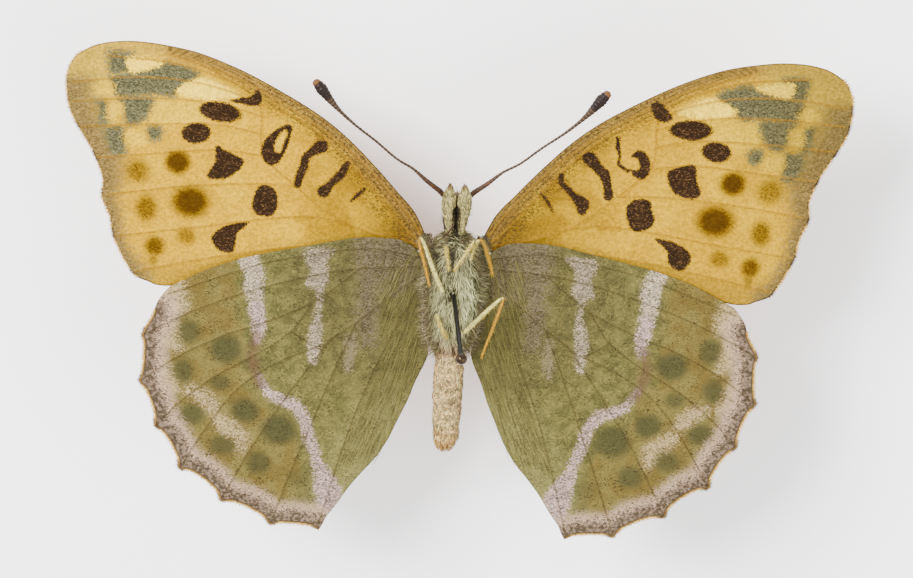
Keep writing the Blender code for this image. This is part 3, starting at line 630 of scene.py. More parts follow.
def wing(name, side, veins, fields, under, upper):
    """A wing with an underside (up) and an upper side (down), each with its own marks."""
    outline, sheet = cad_outline(name, side)
    rim = curve_through(outline, WING_GRID, closed=True)
    places = np.concatenate([rim, grid_inside(rim)])
    n = len(rim)
    flat, _, tris, *_ = delaunay_2d_cdt(
        [Vector(p) for p in places], [(i, (i + 1) % n) for i in range(n)], [list(range(n))[::-1]],
        1, 1e-6)
    places = np.array([tuple(p) for p in flat])
    drawn = squared(places, name, side)
    vein = np.full(len(places), FAR)
    for line in veins:
        vein = np.minimum(vein, away(drawn, curve_through(line, 0.5)))
    edge = away(places, rim, closed=True)
    ridge, sheet_shift = relief(places, vein, edge)
    z = np.interp(places[:, 0], *sheet) + sheet_shift
    thick = WING_THICK * np.clip(edge / RIM_TAPER, 0.25, 1)
    top = np.column_stack([places[:, 0] * side, places[:, 1], z + thick / 2 + ridge])
    bottom = np.column_stack([places[:, 0] * side, places[:, 1], z - thick / 2 - ridge * UPPER_RIDGE])
    count = len(places)
    faces = [tuple(t) if side > 0 else tuple(t[::-1]) for t in tris]
    edges = {pair for f in faces for pair in zip(f, f[1:] + f[:1])}
    if not upward(top, faces[0]):
        faces = [f[::-1] for f in faces]
        edges = {pair[::-1] for pair in edges}
    under_count = len(faces)
    walls = [(b, a, count + a, count + b) for a, b in sorted(edges) if (b, a) not in edges]
    faces += [tuple(count + i for i in f[::-1]) for f in faces[:under_count]] + walls
    obj = piece(name + "_scales", np.concatenate([top, bottom]), faces, [under, upper],
                stands_for=[name])
    obj.data.polygons.foreach_set(
        "material_index", [0] * under_count + [1] * (len(faces) - under_count))
    values = fields(places, rim, name.split("_")[1])
    values.update(u=places[:, 0], v=places[:, 1], vein=vein, edge=edge)
    for key, numbers in values.items():
        field(obj, key, np.concatenate([numbers, numbers]))
    flat_map(obj, under_count)
    return rim, sheet


def upward(points, face):
    """Whether a face looks up."""
    a, b, c = (points[i] for i in face[:3])
    return np.cross(b - a, c - a)[2] > 0


def flat_map(obj, under_count):
    """A map for the two sides of a wing, laid beside each other."""
    mesh = obj.data
    places = np.array([v.co for v in mesh.vertices])
    low = places.min(axis=0)
    size = float((places.max(axis=0) - low)[:2].max()) * 2.1
    layer = mesh.uv_layers.new(name="OFBake")
    faces = np.zeros(len(mesh.loops), int)
    for face in mesh.polygons[under_count:]:
        faces[face.loop_start:face.loop_start + face.loop_total] = 1
    corner = np.array([loop.vertex_index for loop in mesh.loops])
    spots = (places[corner, :2] - low[:2]) / size + 0.01
    spots[:, 0] += faces * 0.5
    layer.data.foreach_set("uv", spots.ravel())


def margin_spots(places, veins, rows):
    """Rows of round spots between the outer ends of neighbouring veins: how deep each place is in one."""
    tips = np.array([line[-1] for line in veins], float)
    best = np.full(len(places), -FAR)
    for a, b in zip(tips, tips[1:]):
        middle, gap = (a + b) / 2, float(np.hypot(*(b - a)))
        if gap < 1.2:
            continue
        inward = unit(np.array([[a[1] - b[1], b[0] - a[0]]]))[0]
        if inward[0] > 0:
            inward = -inward
        for back, radius in rows:
            u, v = middle + inward * back
            best = np.maximum(best, oval(places, u, v, radius, min(radius, gap * 0.36)))
    return best


def forewing_fields(places, rim, label):
    """What a forewing's materials read at each place: depths in its marks and distances from its edges."""
    outer = stretch(rim, FOREWING_APEX, FOREWING_TORNUS)
    costa = away(places, stretch(rim, FOREWING_ROOT, FOREWING_APEX))
    hind = away(places, stretch(rim, FOREWING_TORNUS, FOREWING_ROOT))
    marked = places - (MARKS_OUT[label], 0)
    near_apex = places - (APEX_MARKS_OUT[label], 0)
    dark = depth_in_marks(marked, FOREWING_DARK[label])
    ring, hollow = (curve_through(points, 0.25, closed=True) for points in RING[label])
    dark = np.maximum(dark, np.minimum(depth_in(marked, ring), -depth_in(marked, hollow)))
    u, v = places.T
    lines = np.min([np.abs(costa - gap * np.clip((30 - u) / 12, 0.3, 1)) for gap in (0.3, 0.65, 1.05, 1.5)],
                   axis=0)
    return {
        "dark": dark,
        "brown": soft_marks(marked, FOREWING_BROWN[label]),
        "cream": depth_in_marks(marked, FOREWING_CREAM[label]),
        "grey": depth_in_marks(near_apex, FOREWING_GREY),
        "pale": depth_in_marks(near_apex, FOREWING_PALE),
        "yellow": depth_in_marks(near_apex, FOREWING_YELLOW),
        "outer": away(places, outer),
        "shade": FOREWING_SHADE[label] * (1 + TIP_SHADE * ramp(u, 23, 28) * ramp(v, 8, 13)),
        "costa": costa,
        "costal_lines": lines + np.clip((u - 25) / 3, 0, 1),
        "tan": 2.2 - hind,
        "base": np.hypot(u - 3, v - 3.5) - 1.0,
        "apex": (u - 29.5) * 0.8 + (v - 16.5) * 0.9,
        "dust": np.clip(1.6 - costa / 2.2, 0, 1) * np.clip((26 - u) / 10, 0, 1)
                + np.clip((12 - u) / 10, 0, 1) * 0.5,
        "upper_dark": np.maximum(dark, margin_spots(places, FOREWING_VEINS[2:],
                                                    ((1.3, 0.75), (3.3, 0.75), (6.0, 0.95))))}


def hindwing_fields(places, rim, label):
    """What a hindwing's materials read at each place: depths in its marks and distances from its edges."""
    outer = stretch(rim, HINDWING_APEX, HINDWING_TAIL)
    marked = places - (MARKS_OUT[label], 0)
    v = places[:, 1]
    rows = ((1.5, 0.75), (3.6, 0.8), (7.0, 1.0))
    return {
        "silver": depth_in_marks(marked, HINDWING_SILVER[label]),
        "lilac": depth_in_marks(places, HINDWING_LILAC),
        "streak": depth_in_marks(places, HINDWING_STREAK),
        "basal": depth_in_marks(places, HINDWING_BASAL),
        "purple": depth_in_marks(places, HINDWING_PURPLE),
        "white": depth_in_marks(places, HINDWING_WHITE),
        "spots": soft_marks(places, HINDWING_SPOTS),
        "gold": depth_in(places, np.array(HINDWING_GOLD)),
        "inner": 2.2 - away(places, stretch(rim, HINDWING_TAIL, HINDWING_ROOT)) - 0.1 * np.abs(v + 14),
        "outer": away(places, outer),
        "base": np.hypot(places[:, 0] - 3, v) - 1.0,
        "upper_dark": margin_spots(places, [line for line in HINDWING_VEINS if line[-1][0] > 8], rows)}


def wings():
    """The four wings, and for each its outline and its sheet's height, for the hairs that grow on it."""
    forewing_under, hindwing_under = forewing_underside(), hindwing_underside()
    forewing_upper, hindwing_upper = upperside("forewing_upperside"), upperside("hindwing_upperside")
    rims = {}
    for label, side in SIDES.items():
        name = "forewing_" + label
        rims[name] = wing(name, side, FOREWING_VEINS, forewing_fields, forewing_under,
                          forewing_upper)
        name = "hindwing_" + label
        rims[name] = wing(name, side, HINDWING_VEINS, hindwing_fields, hindwing_under,
                          hindwing_upper)
    return rims


# ---- fur and scales ----
def smooth_body(node, levels):
    """A CAD node's surface made round, as points and faces in the specimen's millimetres."""
    mesh = frame["nodes"][node].data.copy()
    bm = bmesh.new()
    bm.from_mesh(mesh)
    bmesh.ops.remove_doubles(bm, verts=bm.verts, dist=1e-6)
    bmesh.ops.join_triangles(bm, faces=bm.faces, angle_face_threshold=3.2, angle_shape_threshold=3.2)
    bm.to_mesh(mesh)
    bm.free()
    obj = bpy.data.objects.new("rounding", mesh)
    bpy.context.scene.collection.objects.link(obj)
    change = obj.modifiers.new("round", 'SUBSURF')
    change.levels = levels
    rounded = obj.evaluated_get(bpy.context.evaluated_depsgraph_get()).to_mesh()
    points = np.array([v.co for v in rounded.vertices]) / MM - (AXIS_X, 0, 0)
    normals = np.array([v.normal for v in rounded.vertices])
    faces = [tuple(f.vertices) for f in rounded.polygons]
    bpy.data.objects.remove(obj)
    bpy.data.meshes.remove(mesh)
    return points, normals, faces


def scatter(points, normals, faces, count, rng):
    """Random places on a surface, evenly by area, with their normals."""
    quads = np.array([f[:4] if len(f) > 3 else (*f, f[2]) for f in faces])
    a, b, c, d = (points[quads[:, k]] for k in range(4))
    area = np.linalg.norm(np.cross(c - a, d - b), axis=1)
    chosen = quads[rng.choice(len(quads), count, p=area / area.sum())]
    s, t = rng.random((2, count, 1))
    def blend(values):
        return (values[chosen[:, 0]] * (1 - s) * (1 - t) + values[chosen[:, 1]] * s * (1 - t)
                + values[chosen[:, 2]] * s * t + values[chosen[:, 3]] * (1 - s) * t)
    upright = blend(normals)
    return blend(points), unit(upright)


def unit(vectors):
    """Vectors scaled to a length of one."""
    return vectors / np.maximum(np.linalg.norm(vectors, axis=1, keepdims=True), 1e-9)


def hairs(name, roots, ways, ups, lengths, width, rise, mat, rng, steps=3, bend=0.15, values=None,
          taper=0.75):
    """Flat hairs or narrow scales that lie along `ways` and rise from a surface by a share `rise`."""
    n = len(roots)
    ways = unit(ways - ups * np.sum(ways * ups, axis=1, keepdims=True))
    across = np.cross(ways, ups)
    roll = rng.normal(0, 0.5, (n, 1))
    wide = across * np.cos(roll) + ups * np.sin(roll)
    curl = rng.normal(0, bend, (n, 1))
    rises = rise * rng.uniform(0.6, 1.4, (n, 1))
    lengths = np.asarray(lengths).reshape(-1, 1)
    rings = []
    for k in range(steps + 1):
        t = k / steps
        middle = roots + lengths * (ways * t + across * curl * t * t + ups * rises * sin(t * pi * 0.62))
        half = width / 2 * ((1 - t) ** taper + 0.04)
        rings += [middle - wide * half, middle + wide * half]
    points = np.stack(rings, axis=1).reshape(-1, 3)
    per = 2 * (steps + 1)
    starts = (np.arange(n) * per)[:, None]
    faces = np.concatenate([starts + (2 * k, 2 * k + 1, 2 * k + 3, 2 * k + 2) for k in range(steps)])
    obj = piece(name, points, faces.tolist(), [mat])
    field(obj, "along", np.tile(np.repeat(np.arange(steps + 1) / steps, 2), n))
    field(obj, "tone", np.repeat(rng.random(n), per))
    for key, numbers in (values or {}).items():
        field(obj, key, np.repeat(numbers, per))
    return obj


def fur_colours(name, dark, pale, end=None, cleft_shade=None):
    """Hair in colours from dark to pale, hair by hair, darker at its root, with a colour of its own
    where the field "end" is high, and with painted shade where the field "cleft" is high."""
    p = Painter(name)
    colour = p.mix("tone", dark, pale)
    if end:
        colour = p.over(colour, end, "end", 0.0, 1.0)
    if cleft_shade:
        colour = p.over(colour, cleft_shade, "cleft_shade", 0.2, 0.8)
    colour = p.over(colour, p.mix(0.5, dark, (0.0, 0.0, 0.0)), "along", 0.0, 0.6, 0.55, 0.0)
    return p.finish(colour, FUR_ROUGHNESS)


def plain_skin(name, low, high):
    """Two colours clouded together, with a fine bump."""
    p = Painter(name)
    cloud = p.noise(0.25, 3.0)
    return p.finish(p.mix(p.step(cloud, 0.35, 0.65), low, high), 0.6, cloud, 0.3, 0.05)


# ---- body ----
def thorax():
    rng = np.random.default_rng(11)
    points, normals, faces = smooth_body("thorax", 2)
    skin = plain_skin("thorax_skin", rgb(66, 56, 34), rgb(116, 102, 70))
    sunk = 0.22 * (1 - normals[:, :1] ** 2)
    piece("thorax_core", points - normals * sunk, faces, [skin], stands_for=["thorax"])
    p = Painter("thorax_fur")
    tone = p.field("tone")
    flank = p.step(p.sum('MULTIPLY_ADD', tone, 0.4, "flank"), 0.60, 1.15)
    colour = p.mix(tone, rgb(128, 122, 96), rgb(216, 212, 190))
    # the second of these is a painted highlight: paler, bluish hair for the fur's sheen, on one side of the
    # thorax
    for where, dark, pale in (
            (flank, rgb(86, 74, 42), rgb(160, 146, 100)),
            (p.step("painted_sheen", 0.1, 0.8), rgb(176, 174, 148), rgb(232, 231, 216)),
            (p.step("rear", 0.2, 1.0), rgb(128, 104, 82), rgb(206, 184, 162)),
            (p.step("lilac", 0.4, 0.9), rgb(104, 92, 72), rgb(182, 168, 146))):
        colour = p.mix(where, colour, p.mix(tone, dark, pale))
    # painted shade in the thorax's middle parting and front hollow; elsewhere some hairs darker at random
    colour = p.over(colour, rgb(62, 48, 30), "dim", 0.45, 0.95)
    colour = p.over(colour, rgb(80, 68, 44), "along", 0.0, 0.5, 0.65, 0.0)
    mat = p.finish(colour, FUR_ROUGHNESS)
    roots, ups = scatter(points - normals * 0.2, normals, faces, 11000, rng)
    keep = ups[:, 1] > -0.98      # none on the face that meets the abdomen
    roots, ups = roots[keep], ups[keep]
    x, y = roots[:, 0], roots[:, 1]
    n = len(roots)
    ways = np.column_stack([x * 0.22 + rng.normal(0, 0.30, n), np.full(n, -1.0), rng.normal(0, 0.15, n)])
    ways[:, 1] += ramp(y, 2.5, 4.5) * 0.6
    # a parting down the middle, where the hair is shorter and painted shade darkens it
    crease = np.exp(-((np.abs(x + 0.25) - 0.15) / 0.22) ** 2) * ramp(y, -1.0, 1.5)
    hollow = (np.abs(x + 1.55) < 0.65) & (np.abs(y - 4.0) < 0.8)     # painted shade, in a hollow at the front right
    rear = ramp(-y, 3.2, 5.4)
    hairs("thorax_fur", roots, ways, ups, rng.uniform(0.5, 1.25, n) * (1 - 0.45 * crease) * (1 + 0.8 * rear),
          0.046, 0.18, mat, rng, bend=0.08, values={
              "flank": np.abs(x) / 2.5, "rear": rear, "lilac": np.zeros(n),
              # painted highlight on one side of the thorax
              "painted_sheen": np.clip(1 - np.abs(x - 1.35) / 1.25, 0, 1) * np.clip(1 - np.abs(y + 0.3) / 4.0, 0, 1),
              "dim": np.clip(crease * 0.8 + hollow + rng.normal(0, 0.3, n), 0, 1)})
    wing_root_fur(mat)


THORAX_HALF = (-6.0, -4.7, -3.3, 0.2, 3.2, 4.1, 4.7), (1.2, 1.85, 2.2, 2.4, 2.05, 1.6, 0.9)   # v, half width
WING_ROOT_Z = 14.3      # height of the wings' roots on the thorax


def wing_root_fur(mat):
    """Matted hair from the thorax's flanks that lies out over the roots of the wings."""
    rng = np.random.default_rng(15)
    n = 9000
    side = rng.choice((-1.0, 1.0), n)
    y = 4.7 - 10.6 * rng.random(n) ** 1.25
    half = np.interp(y, *THORAX_HALF)
    height = rng.uniform(-0.2, 1.7, n)
    roots = np.column_stack([side * (half - 0.12 - np.maximum(height, 0) * 0.26), y, WING_ROOT_Z + height])
    ways = np.column_stack([side * rng.uniform(0.25, 1.0, n), rng.normal(-0.8, 0.3, n), np.zeros(n)])
    outward = rng.random(n) < 0.45
    ways[outward] = np.column_stack([side, rng.normal(-0.35, 0.35, n), np.zeros(n)])[outward]
    shoulder = rng.random(n) < 0.17
    roots[shoulder] = np.column_stack([side * rng.uniform(1.9, 2.7, n), rng.uniform(2.0, 4.4, n),
                                       rng.uniform(13.9, 14.3, n)])[shoulder]
    ways[shoulder, 1] -= 0.8
    ups = unit(np.column_stack([side * 0.42, np.zeros(n), np.ones(n)]))
    lengths = rng.uniform(0.5, 1.5, n) * np.interp(y, (-5.9, -3, 3, 4.4), (1.3, 1.0, 0.9, 0.6))
    middle = np.clip(1.0 - np.abs(y + 0.3) / 4.0, 0, 1)      # 1 half way along the thorax
    hairs("wing_root_fur", roots, ways, ups, lengths, 0.036, 0.08, mat, rng, bend=0.06, values={
        "flank": np.where(rng.random(n) > 0.12, 1.2, 0.3), "rear": np.zeros(n),
        "lilac": (rng.random(n) > 0.6) * 1.0,
        # painted highlight on some hairs, mostly on one side
        "painted_sheen": (rng.random(n) < np.where(side > 0, 0.35, 0.12)) * middle * 0.6,
        "dim": np.clip(rng.normal(0.35, 0.3, n), 0, 1)})


EYE = (0.52, 6.95, 13.9)     # middle of the left eye
EYE_EDGE = 0.74              # how far from its middle an eye ends
EYE_OUT = 0.85               # the eyes' facets are further out than this from the head's middle


def head():
    rng = np.random.default_rng(12)
    points, normals, faces = smooth_body("head", 2)
    p = Painter("head_skin")
    eye = p.field("eye")
    facets = p.cells(0.05, 0.05)
    colour = p.mix(eye, p.mix(p.noise(0.3), rgb(84, 70, 48), rgb(150, 132, 98)),
                   p.mix(facets, rgb(60, 36, 22), rgb(92, 60, 36)))
    mat = p.finish(colour, p.mix(eye, (0.7, 0.7, 0.7), (0.25, 0.25, 0.25)), facets, 0.2, 0.01)
    obj = piece("head_core", points, faces, [mat], stands_for=["head"])
    eyes = np.min([np.linalg.norm(points - np.multiply(EYE, (s, 1, 1)), axis=1) for s in (1, -1)], axis=0)
    field(obj, "eye", ramp(-eyes, -EYE_EDGE, 0.06 - EYE_EDGE) * (np.abs(points[:, 0]) > EYE_OUT))
    roots, ups = scatter(points, normals, faces, 1100, rng)
    furred = (np.abs(roots[:, 0]) < EYE_OUT) & (roots[:, 1] < 7.6)
    roots, ups = roots[furred], ups[furred]
    n = len(roots)
    mat = fur_colours("head_fur", rgb(96, 76, 50), rgb(188, 170, 128), rgb(48, 34, 22))
    ways = np.column_stack([rng.normal(0, 0.4, n), np.ones(n), rng.normal(0, 0.3, n)])
    hairs("head_fur", roots, ways, ups, rng.uniform(0.4, 0.9, n), 0.045, 0.5, mat, rng,
          values={"end": ramp(-roots[:, 1], -6.6, -6.0)})


def palps():
    skin = plain_skin("palp_skin", rgb(132, 124, 92), rgb(180, 172, 138))
    # the last colour is painted shade, in the gap between the two palps
    mat = fur_colours("palp_scales", rgb(132, 120, 86), rgb(216, 208, 178),
                      end=rgb(140, 100, 58), cleft_shade=rgb(66, 50, 32))
    for seed, label in enumerate(SIDES):
        rng = np.random.default_rng(13 + seed)
        name = "palp_" + label
        points, normals, faces = smooth_body(name, 2)
        piece(name + "_core", points, faces, [skin], stands_for=[name])
        roots, ups = scatter(points, normals, faces, 1300, rng)
        n = len(roots)
        ways = np.column_stack([rng.normal(0, 0.22, n), np.ones(n), rng.normal(0, 0.2, n)])
        from_tip = box(name)[1][1] - roots[:, 1]
        inward = np.abs(points[:, 0]).mean() - np.abs(roots[:, 0])
        hairs(name + "_scales", roots, ways, ups, rng.uniform(0.24, 0.42, n), 0.080, 0.16, mat,
              rng, taper=0.45, values={"end": ramp(-from_tip, -0.8, -0.1),
                                       "cleft_shade": ramp(inward, 0, 0.35) * ramp(from_tip, 1.7, 2.2)})


ABDOMEN_R = 1.45
WAISTS = ((-7.2, 0.9, 0.16), (-13.6, 0.35, 0.10))     # where the abdomen draws in: v, length, depth


def abdomen():
    rng = np.random.default_rng(14)
    points, normals, faces = smooth_body("abdomen", 3)
    x, y, z = points.T
    bumps = 0.07 * np.sin(y * 3.1 + 1.0) * np.sin(x * 2.3) + 0.05 * np.sin(y * 7.0 + z * 4.0)
    waist = sum(depth * np.exp(-((y - v) / length) ** 2) for v, length, depth in WAISTS)
    core = points + normals * (bumps - 0.05 - waist)[:, None]
    p = Painter("abdomen_skin")
    cloud = p.noise(0.22, 3.0)
    colour = p.mix(p.step(cloud, 0.35, 0.65), rgb(160, 138, 108), rgb(214, 196, 166))
    colour = p.over(colour, rgb(96, 76, 54), p.noise(0.4, 1.0), 0.62, 0.68, 0.0, 0.7)
    skin = p.finish(colour, 0.8, cloud, 0.6, 0.08)
    piece("abdomen_core", core, faces, [skin], stands_for=["abdomen"])
    p = Painter("abdomen_scale_colours")
    tone, tail = p.field("tone"), p.field("tail")
    colour = p.mix(tone, rgb(150, 134, 108), rgb(222, 212, 188))
    colour = p.over(colour, rgb(124, 104, 80), p.noise(0.9, 2.0), 0.50, 0.62, 0.0, 0.65)
    colour = p.over(colour, rgb(74, 58, 40), p.noise(0.35, 1.0), 0.62, 0.68, 0.0, 0.8)
    # painted shade: darker towards the abdomen's sides
    colour = p.over(colour, rgb(140, 116, 88), "flank", 0.55, 1.0, 0.0, 0.7)
    colour = p.over(colour, p.mix(tone, rgb(150, 106, 58), TUFT_TAN), tail, 0.0, 1.0, 0.0, 0.9)
    mat = p.finish(colour, FUR_ROUGHNESS)
    roots, ups = scatter(core, normals, faces, 4200, rng)
    n = len(roots)
    back = ramp(box("abdomen")[0][1] - roots[:, 1], -3.2, -0.7)
    ways = np.column_stack([rng.normal(0, 0.25, n), -np.ones(n), rng.normal(0, 0.2, n)])
    hairs("abdomen_scales", roots, ways, ups, rng.uniform(0.16, 0.32, n) * (1 + 1.2 * back), 0.075, 0.16,
          mat, rng, taper=0.5,
          values={"tail": back, "flank": np.abs(roots[:, 0]) / ABDOMEN_R})


def ring_line(name):
    """The middles and radii of the rings a slender CAD node was drawn with, from its root outward."""
    places = specimen(frame["nodes"][name])
    root = places[np.argmin(np.hypot(places[:, 0], places[:, 1]))]
    away_from_root = np.linalg.norm(places - root, axis=1)
    order = np.argsort(away_from_root)
    cuts = np.where(np.diff(away_from_root[order]) > 0.12)[0] + 1
    rings = [places[group] for group in np.split(order, cuts) if len(group) >= 6]
    middles = np.array([ring.mean(axis=0) for ring in rings])
    radii = np.array([np.linalg.norm(ring - m, axis=1).mean() for ring, m in zip(rings, middles)])
    return middles, radii


ROD_SIDES = 16
SEGMENT = 0.36            # length of one segment of an antenna


def antennae():
    """Each antenna is a chain of short segments that swells into a club with a bare orange tip."""
    p = Painter("antenna_skin")
    fine = p.noise(0.08, 2.0)
    colour = p.mix(p.step(fine, 0.4, 0.6), rgb(58, 38, 26), rgb(104, 78, 58))
    colour = p.over(colour, rgb(160, 134, 108), "joint", 0.6, 0.95, 0.0, 0.6)
    scaly = p.mix(p.step(p.noise(0.3, 2.0), 0.4, 0.6), rgb(32, 20, 12), rgb(126, 78, 44))
    colour = p.over(colour, scaly, "root", 0.1, 0.9, 0.0, 0.7)
    colour = p.over(colour, rgb(46, 26, 16), "club", 0.2, 0.8)
    colour = p.over(colour, TIP_ORANGE, "tip", 0.3, 0.8)
    mat = p.finish(colour, 0.45, fine, 0.3, 0.03)
    for label in SIDES:
        name = "antenna_" + label
        middles, radii = ring_line(name)
        run = np.concatenate([[0], np.cumsum(np.linalg.norm(np.diff(middles, axis=0), axis=1))])
        s = np.arange(0, run[-1], 0.05)
        line = np.column_stack([np.interp(s, run, middles[:, k]) for k in range(3)])
        phase = (s / SEGMENT) % 1
        r = np.interp(s, run, radii) * (0.92 + 0.12 * np.sin(phase * pi))
        points, faces = round_rod(line, r, ROD_SIDES)
        obj = piece(name + "_segments", points, faces, [mat], stands_for=[name])
        for key, values in (("joint", np.abs(phase * 2 - 1)), ("root", np.clip(1.6 - s / 2.6, 0, 1)),
                            ("club", ramp(s - run[-1], -2.4, -1.6)), ("tip", ramp(s - run[-1], -0.4, -0.1))):
            field(obj, key, np.concatenate([np.repeat(values, ROD_SIDES), values[[0, -1]]]))


def round_rod(line, radii, sides):
    """A closed rod along a line of points, its ends domed."""
    along = unit(np.gradient(line, axis=0))
    across = unit(np.cross(along, (0.0, 0.0, 1.0)))
    over = np.cross(across, along)
    angles = 2 * pi * np.arange(sides) / sides
    ring = across[:, None] * np.cos(angles)[None, :, None] + over[:, None] * np.sin(angles)[None, :, None]
    points = (line[:, None] + ring * np.asarray(radii)[:, None, None]).reshape(-1, 3)
    ends = [line[0] - along[0] * radii[0] * 0.5, line[-1] + along[-1] * radii[-1] * 0.5]
    faces = []
    count = len(line)
    for r in range(count - 1):
        for i in range(sides):
            j = (i + 1) % sides
            faces.append((r * sides + j, r * sides + i, (r + 1) * sides + i, (r + 1) * sides + j))
    faces += [(i, (i + 1) % sides, count * sides) for i in range(sides)]
    last = (count - 1) * sides
    faces += [(last + (i + 1) % sides, last + i, count * sides + 1) for i in range(sides)]
    return np.concatenate([points, ends]), faces


LEG_ORANGE = {   # the plane past which a leg turns from its pale part to its orange part: point, way
    "middle_leg_right": ((-1.43, 0.55), (-0.94, -0.34)),
    "middle_leg_left": ((2.2, 4.2), (1.0, 0.3)),
    "hind_leg_left": ((4.2, -0.1), (0.896, -0.443))}
NO_ORANGE = ((9.0, 0.0), (1.0, 0.0))     # further out than any leg reaches


def orange_share(name, places):
    """How orange a leg is at each place, from 0 to 1."""
    (px, py), (wx, wy) = LEG_ORANGE.get(name, NO_ORANGE)
    return np.clip(((places[:, 0] - px) * wx + (places[:, 1] - py) * wy) / 0.3 + 0.5, 0, 1)


def legs():
    p = Painter("leg_skin")
    fine = p.noise(0.12, 2.0)
    colour = p.mix(p.step(fine, 0.35, 0.65), rgb(176, 168, 128), rgb(218, 212, 178))
    colour = p.mix("orange", colour, p.mix(p.step(fine, 0.35, 0.65), LEG_DEEP, LEG_AMBER))
    mat = p.finish(colour, 0.6, fine, 0.3, 0.03)
    bristle = fur_colours("leg_bristles", rgb(150, 130, 84), rgb(226, 212, 166), end=AMBER)
    for name in sorted(n for n in frame["nodes"] if "leg_" in n):
        rng = np.random.default_rng(len(name))
        points, normals, faces = smooth_body(name, 2)
        core = points - normals * 0.02
        obj = piece(name + "_core", core, faces, [mat], stands_for=[name])
        field(obj, "orange", orange_share(name, points))
        roots, ups = scatter(core, normals, faces, 420, rng)
        n = len(roots)
        ways = np.column_stack([rng.normal(0, 0.5, n), -np.ones(n), rng.normal(0, 0.3, n)])
        hairs(name + "_bristles", roots, ways, ups, rng.uniform(0.12, 0.3, n), 0.035, 0.35, bristle,
              rng, values={"end": orange_share(name, roots)}, steps=2)


def proboscis():
    p = Painter("proboscis_skin")
    rings = p.noise(0.1, 1.0)
    mat = p.finish(p.mix(p.step(rings, 0.4, 0.6), rgb(38, 24, 15), rgb(112, 76, 50)), 0.5, rings, 0.4, 0.03)
    points, _, faces = smooth_body("proboscis", 2)
    piece("proboscis_rod", points, faces, [mat], stands_for=["proboscis"])


# ---- hair on the wings ----
def wing_hairs(rims):
    rng = np.random.default_rng(21)
    mat = fur_colours("hindwing_hair", rgb(106, 96, 58), rgb(180, 170, 122))
    for label, side in SIDES.items():
        rim, sheet = rims["hindwing_" + label]
        n = 1700
        u, v = rng.uniform(2.6, 9.0, n), rng.uniform(-17.0, 2.5, n)
        reach = away(np.column_stack([u, v]), stretch(rim, HINDWING_TAIL, HINDWING_ROOT))
        keep = inside(np.column_stack([u, v]), rim) & (reach < 3.4) & (reach > 0.1)
        u, v, n = u[keep], v[keep], int(keep.sum())
        roots = np.column_stack([u * side, v, np.interp(u, *sheet) + 0.03])
        outward = 0.24 + 0.02 * u + rng.normal(0, 0.06, n)
        ways = np.column_stack([outward * side, np.full(n, -1.0), np.zeros(n)])
        ups = np.tile((0.0, 0.0, 1.0), (n, 1))
        hairs("hindwing_hair_" + label, roots, ways, ups, rng.uniform(1.2, 2.8, n), 0.026, 0.06, mat,
              rng, bend=0.06)


def fringes(rims):
    """The short scales that stand out along each wing's margin."""
    p = Painter("fringe_scales")
    colour = p.mix("tone", rgb(190, 160, 106), rgb(222, 200, 156))
    colour = p.over(colour, rgb(108, 78, 48), "dim", 0.4, 0.8)
    mat = p.finish(colour, FUR_ROUGHNESS)
    ends = {"forewing": (FOREWING_APEX, FOREWING_TORNUS), "hindwing": (HINDWING_APEX, HINDWING_TAIL)}
    for name, (rim, sheet) in rims.items():
        kind, label = name.split("_")
        side = SIDES[label]
        rng = np.random.default_rng(22)
        line = curve_through(stretch(rim, *ends[kind])[::4], 0.035)
        n = len(line)
        along = unit(np.gradient(line, axis=0))
        out = np.column_stack([-along[:, 1], along[:, 0]])
        out[inside(line + out * 0.3, rim)] *= -1
        turn = rng.normal(0, 0.25, (n, 1))
        ways = np.column_stack([(out + along * turn) * (side, 1), np.zeros(n)])
        start = line - out * 0.10
        roots = np.column_stack([start[:, 0] * side, start[:, 1],
                                 np.interp(start[:, 0], *sheet) + rng.uniform(-0.02, 0.03, n)])
        veins = FOREWING_VEINS if kind == "forewing" else HINDWING_VEINS
        tips = np.array([v[-1] for v in veins])
        gap = np.min([np.hypot(*(line - t).T) for t in tips], axis=0)
        hairs("fringe_" + name, roots, ways, np.tile((0.0, 0.0, 1.0), (n, 1)), rng.uniform(0.22, 0.36, n),
              0.06, 0.03, mat, rng, steps=2, taper=0.4,
              values={"dim": np.clip(1.2 - gap / 0.9, 0, 1)})


# ---- pin ----
PIN_POINT, PIN_TIP_R = 1.6, 0.02      # length of the tapered point, and its blunt end


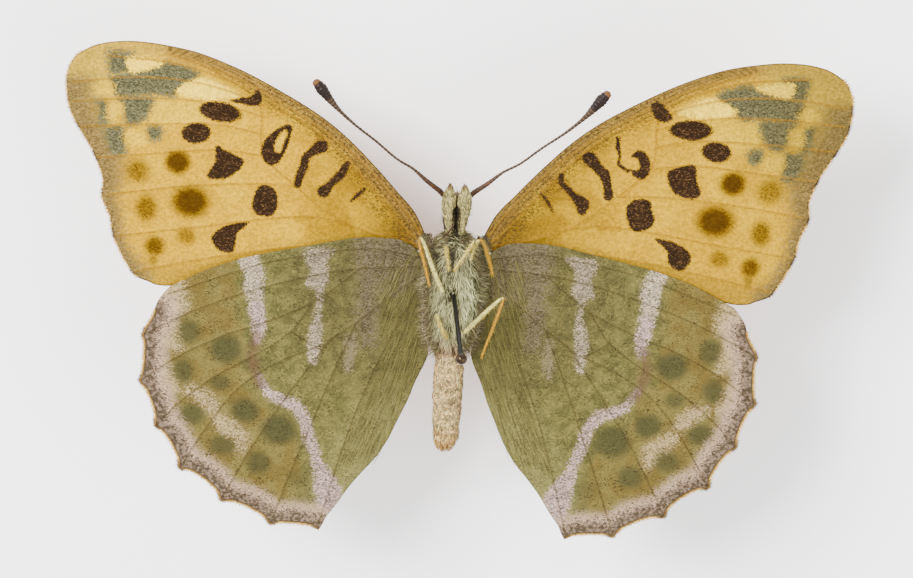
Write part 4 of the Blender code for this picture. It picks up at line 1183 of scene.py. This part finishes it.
def pin():
    """The enamelled shaft and its round head, turned about the pin's leaning axis."""
    mount = frame["record"]["mounts"][0]
    up = -np.array(mount["axis"])
    low, high = box("pin_shaft")
    head_low, head_high = box("pin_head")
    length = (high[2] - low[2]) / up[2]
    r = (high[1] - low[1]) / 2
    foot = up * low[2] / up[2]
    s = np.array([0.0, 0.1, 0.5, 1.0, PIN_POINT, 1.8, 4.0, 8.0, 14.0, 20.0, 26.0, 32.0, length])
    radii = np.interp(s, [0.0, PIN_POINT / 2, PIN_POINT], [PIN_TIP_R, r * 0.62, r])
    line = foot + s[:, None] * up - (AXIS_X, 0, 0)
    points, faces = round_rod(line, radii, 32)
    p = Painter("pin_enamel")
    worn = p.noise(0.5, 3.0)
    mat = p.finish(p.mix(p.step(worn, 0.6, 0.75), rgb(16, 13, 11), rgb(34, 27, 20)),
                   p.mix(worn, (0.35,) * 3, (0.5,) * 3))
    piece("pin_shaft_enamel", points, faces, [mat], stands_for=["pin_shaft"])

    centre = (head_low + head_high) / 2
    ball = (head_high[1] - head_low[1]) / 2
    angle = np.linspace(-pi / 2 + 0.5, pi / 2 - 0.02, 22)
    line = centre + (ball * np.sin(angle))[:, None] * up - (AXIS_X, 0, 0)
    points, faces = round_rod(line, ball * np.cos(angle), 40)
    p = Painter("pin_head_bronze")
    p.shader.inputs["Metallic"].default_value = 0.6
    worn = p.noise(0.4, 3.0)
    mat = p.finish(p.mix(p.step(worn, 0.35, 0.7), rgb(62, 46, 32), rgb(112, 88, 62)), 0.22)
    piece("pin_head_ball", points, faces, [mat], stands_for=["pin_head"])


# ---- room ----
FLOOR_HALF = 1.5     # metres


def foam():
    """The pale surface that the pin stands in."""
    mesh = bpy.data.meshes.new("floor")
    mesh.from_pydata([(x * FLOOR_HALF, y * FLOOR_HALF, 0) for x, y in ((-1, -1), (1, -1), (1, 1), (-1, 1))],
                     [], [(0, 1, 2, 3)])
    obj = bpy.data.objects.new("floor", mesh)
    bpy.context.scene.collection.objects.link(obj)
    p = Painter("floor_white")
    mesh.materials.append(p.finish(p.mix(p.noise(6.0), rgb(244, 244, 243), rgb(250, 250, 249)), 0.9))


def lights():
    """An even white room with two soft lamps that look at the pin's foot."""
    world = bpy.data.worlds.new("soft_room")
    bpy.context.scene.world = world
    world.use_nodes = True
    background = world.node_tree.nodes["Background"]
    background.inputs["Color"].default_value = (1.0, 1.0, 1.0, 1.0)
    background.inputs["Strength"].default_value = 1.9
    for name, place, size, power in (("key", (-0.30, 0.32, 0.45), 0.25, 14.0),      # metres and watts
                                     ("fill", (0.40, -0.10, 0.50), 0.50, 4.0)):
        light = bpy.data.lights.new(name, 'AREA')
        light.size = size
        light.energy = power
        obj = bpy.data.objects.new(name, light)
        obj.location = place
        obj.rotation_euler = Vector(place).to_track_quat('Z', 'Y').to_euler()
        bpy.context.scene.collection.objects.link(obj)


CAMERA_TILT = 23.5      # degrees from straight down, towards the head
CAMERA_TURN = 2.5
CAMERA_AWAY = 480.0
CAMERA_AIM = (0.359, -1.024, 13.5)
LENS = 218.8            # with a sensor 36 mm wide


def camera():
    """Looks down on the underside, from a place that leans over towards the head."""
    turn, tilt = radians(CAMERA_TURN), radians(CAMERA_TILT)
    right = Vector((cos(turn), sin(turn), 0))
    ahead = Vector((-sin(turn), cos(turn), 0))
    up = ahead * cos(tilt) - Vector((0, 0, 1)) * sin(tilt)
    back = ahead * sin(tilt) + Vector((0, 0, 1)) * cos(tilt)
    data = bpy.data.cameras.new("camera")
    data.lens = LENS
    data.sensor_width = 36.0
    data.clip_start = 0.01
    data.clip_end = 10.0
    obj = bpy.data.objects.new("camera", data)
    obj.matrix_world = Matrix((right, up, back)).transposed().to_4x4()
    obj.location = Vector(row([CAMERA_AIM])[0]) + back * CAMERA_AWAY * MM
    bpy.context.scene.collection.objects.link(obj)
    bpy.context.scene.camera = obj


rims = wings()
wing_hairs(rims)
fringes(rims)
thorax()
head()
palps()
abdomen()
antennae()
legs()
proboscis()
pin()
foam()
lights()
camera()
